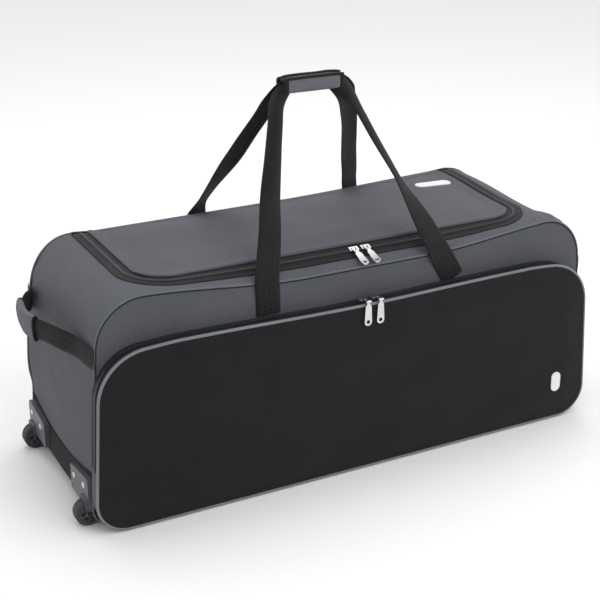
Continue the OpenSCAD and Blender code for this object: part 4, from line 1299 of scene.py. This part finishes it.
M = {
    "fabric_grey": woven("grey woven polyester", srgb(88, 90, 97)),
    "fabric_black": woven("black woven polyester", srgb(21, 21, 24), spread=0.14, sheen=0.05),
    "webbing_black": webbing("black ribbed webbing", srgb(17, 17, 19)),
    "zip_tape": webbing("black herringbone tape", srgb(16, 16, 18), rib=0.0012, chevron=0.0026, bump=0.5),
    "zip_teeth": moulded("black moulded zip teeth", srgb(34, 34, 38), (0.25, 0.45), grain=400.0),
    "piping_grey": woven("grey corded piping", srgb(124, 130, 134), thread=0.0009, sheen=0.1),
    # Seam cord grey: partly its own paler colour, partly a painted highlight.
    "seam_cord": woven("grey seam cord with painted highlight", srgb(104, 108, 113), thread=0.0009, sheen=0.1),
    # This black serves the real band piping and also the painted shade lines in the front and back seams.
    "piping_black": woven("black corded piping and painted seam shade", srgb(32, 32, 34), thread=0.0009, sheen=0.05),
    "grip_fabric": woven("grey padded grip cloth", srgb(104, 105, 112), thread=0.0012, bump=0.5),
    "binding": webbing("black bias binding", srgb(19, 19, 21), rib=0.0009, chevron=0.02, bump=0.4),
    "board": moulded("black stiffener board", srgb(36, 36, 38), (0.5, 0.8)),
    "guard_plastic": moulded("charcoal moulded guard", srgb(80, 77, 84), (0.32, 0.5)),
    "hub_plastic": moulded("black moulded hub", srgb(52, 52, 54), (0.35, 0.55)),
    "tyre_rubber": moulded("dark rubber tyre", srgb(50, 49, 52), (0.55, 0.8), grain=500.0, bump=0.3),
    "zip_metal": moulded("plated zip metal", srgb(205, 205, 206), (0.16, 0.34), bump=0.03, metallic=1.0,
                         scuff=0.0),
    "steel": moulded("bright steel", srgb(205, 204, 200), (0.2, 0.4), bump=0.05, metallic=1.0, scuff=0.0),
    "rivet_metal": moulded("pale plated rivet", srgb(222, 219, 212), (0.3, 0.45), bump=0.05, metallic=0.35,
                           scuff=0.0),
    "axle_dark": moulded("blackened axle pin", srgb(50, 50, 52), (0.3, 0.5), metallic=0.8, scuff=0.0),
    "badge": moulded("pale satin badge", srgb(214, 215, 218), (0.35, 0.5), spread=0.03, scuff=0.0),
    "thread": webbing("dark sewing thread", srgb(64, 65, 69), rib=0.0006, chevron=0.01, bump=0.2),
}


def dress(name, material, body_name, stands_for):
    """Gives a piece its material, the body it rides on and the CAD parts it stands for."""
    ob = bpy.data.objects[name]
    ob.data.materials.clear()
    ob.data.materials.append(M[material])
    if body_name:
        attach(ob, body_name)
    if stands_for:
        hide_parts(*stands_for)


# Each piece, its material, the body it rides on or None, and the CAD parts it stands for
PIECES = [("bag_front", "fabric_grey", "bag", "front_panel"),
          ("bag_back", "fabric_grey", "bag", "back_panel"),
          ("bag_shell", "fabric_grey", "bag", "left_end_panel", "right_end_panel", "top_surround"),
          ("bag_front_low", "fabric_black", "bag"),
          ("bag_base", "fabric_black", "bag", "base_panel"),
          ("band_cord", "piping_black", "bag"),
          ("bag_zip_tape", "zip_tape", "bag", "body_zip_half"),
          ("bag_zip_teeth", "zip_teeth", "bag"),
          ("bag_stitches", "thread", "bag"),
          ("strap_stitches", "thread", "bag"),
          ("lid_zip_end_tabs", "webbing_black", "bag", "zip_end_tabs"),
          ("lid_hinge_binding", "fabric_grey", None),
          ("lid_cloth", "fabric_grey", "lid", "lid_panel"),
          ("lid_zip_tape", "zip_tape", "lid", "lid_zip_half"),
          ("lid_zip_teeth", "zip_teeth", "lid"),
          ("lid_stitches", "thread", "lid"),
          ("lid_name_plate", "badge", "lid", "lid_badge"),
          ("pocket_name_plate", "badge", "bag", "pocket_badge"),
          ("pocket_gusset_base", "fabric_black", "bag", "pocket_gusset"),
          ("pocket_tape_body", "zip_tape", "bag", "pocket_zip_body_half"),
          ("pocket_teeth_body", "zip_teeth", "bag"),
          ("pocket_tape_flap", "zip_tape", "pocket_cover", "flap_zip_half"),
          ("pocket_teeth_flap", "zip_teeth", "pocket_cover"),
          ("pocket_face", "fabric_black", None, "pocket_lower_panel", "pocket_flap"),
          ("pocket_piping", "piping_grey", None, "pocket_lower_piping", "flap_piping"),
          ("grip_sleeve_front", "grip_fabric", "front_handle", "grip_wrap"),
          ("grip_sleeve_back", "grip_fabric", "back_handle", "grip_closure")]
for word in ("front", "back"):
    # Each seam's grey cord is lighter than the cloth, partly as a painted highlight.
    PIECES += [(f"{word}_seam_cord", "seam_cord", "bag", f"{word}_piping"),
               # The black seam line is painted shade of the seam's recess, not piping.
               (f"{word}_seam_line", "piping_black", "bag"),
               (f"{word}_carry_strap", "webbing_black", None, f"{word}_strap", f"strap_patch_{word}_left",
                f"strap_patch_{word}_right"),
               (f"grip_binding_{word}", "binding", f"{word}_handle")]
for word in ("left", "right"):
    PIECES += [(f"pocket_gusset_{word}", "fabric_grey", "bag"),
               (f"{word}_handle_strap_front", "webbing_black", None, f"{word}_handle_web",
                f"end_tabs_{word}"),
               (f"{word}_handle_strap_back", "webbing_black", None),
               (f"{word}_handle_sleeve", "grip_fabric", f"{word}_handle", f"{word}_handle_pad"),
               (f"{word}_handle_binding", "binding", f"{word}_handle")]
for name, material, body_name, *parts in PIECES:
    dress(name, material, body_name, parts)
PIECE = bpy.data.objects
for name in ("bag_front", "bag_front_low", "bag_back", "bag_shell", "lid_cloth"):
    solidify(PIECE[name], WALL)

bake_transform(PIECE["lid_hinge_binding"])
for name, body_name, (y, z) in (("pocket_face", "pocket_cover", (POCKET_Y, FOLD_Z)),
                                ("pocket_piping", "pocket_cover", (POCKET_Y, FOLD_Z)),
                                ("front_carry_strap", "front_handle", FRONT_PIVOT),
                                ("back_carry_strap", "back_handle", BACK_PIVOT)):
    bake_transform(PIECE[name])
for side, word in ((-1, "left"), (1, "right")):
    for end, part in ((-1, "front"), (1, "back")):
        x = side * HANDLE_HINGE_X
        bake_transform(PIECE[f"{word}_handle_strap_{part}"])

# CAD parts that are shown as they are
SMALL_EDGE, EDGE = 0.0003, 0.0008
for material, node_names in (
        ("board", ["base_board", "end_board"]),
        ("guard_plastic", ["wheel_guard_front", "wheel_guard_back", "runner_front", "runner_middle",
                           "runner_back"]),
        ("axle_dark", ["axle_front", "axle_back"]), ("rivet_metal", ["rivets"]), ("steel", ["rivet_washers"]),
        ("tyre_rubber", ["tyre_front", "tyre_back"]), ("hub_plastic", ["hub_front", "hub_back"]),
        ("zip_metal", [f"{place}_{kind}_{side}" for place in ("lid", "pocket") for kind in ("slider", "pull")
                       for side in ("left", "right")])):
    for node in [NODES[name] for name in node_names]:
        for k in range(len(node.data.materials)):
            node.data.materials[k] = M[material]
        bevel(node, SMALL_EDGE if material == "zip_metal" else EDGE)


# ---------------------------------------------------------------- floor, light and camera
CAMERA_AT = (-1.095, -2.0486, 1.238)
CAMERA_DOWN, CAMERA_TURN = 22.49, 27.34      # degrees below level, and to the right of straight ahead
FLOOR_HALF, FLOOR_WHITE, WORLD_LIGHT = 40, 0.86, 0.92


def link(name, data):
    """Puts data into the scene as an object."""
    ob = bpy.data.objects.new(name, data)
    bpy.context.scene.collection.objects.link(ob)
    return ob


def floor_and_light():
    """A wide pale floor, an even white surround and three large soft lamps."""
    h = FLOOR_HALF
    me = bpy.data.meshes.new("floor")
    me.from_pydata([(-h, -h, 0), (h, -h, 0), (h, h, 0), (-h, h, 0)], [], [(0, 1, 2, 3)])
    s = Shader("pale floor", 0.9)
    s.bsdf.inputs["Base Color"].default_value = grey(FLOOR_WHITE)
    me.materials.append(s.mat)
    link("floor", me)
    world = bpy.data.worlds.new("studio")
    bpy.context.scene.world = world
    world.use_nodes = True
    back = world.node_tree.nodes["Background"]
    back.inputs["Color"].default_value = grey(1.0)
    back.inputs["Strength"].default_value = WORLD_LIGHT
    bpy.context.scene.view_settings.view_transform = "Standard"
    for name, where, size, power, target in (("key", (0.7, -3.0, 3.0), 2.4, 42, (0, 0, 0.3)),
                                             ("fill", (2.6, -2.4, 1.6), 2.6, 14, (0, 0, 0.25)),
                                             ("top", (0.3, 1.0, 3.4), 2.8, 40, (0, 0, 0.3))):
        data = bpy.data.lights.new(name, "AREA")
        data.size, data.energy = size, power
        ob = link(name, data)
        ob.location = where
        ob.rotation_euler = (Vector(target) - Vector(where)).to_track_quat("-Z", "Y").to_euler()


floor_and_light()
cam_data = bpy.data.cameras.new("camera")
cam_data.lens, cam_data.sensor_width = 76.94, 36
cam = link("camera", cam_data)
cam.location = CAMERA_AT
cam.rotation_euler = (math.radians(90 - CAMERA_DOWN), 0, math.radians(-CAMERA_TURN))
bpy.context.scene.camera = cam
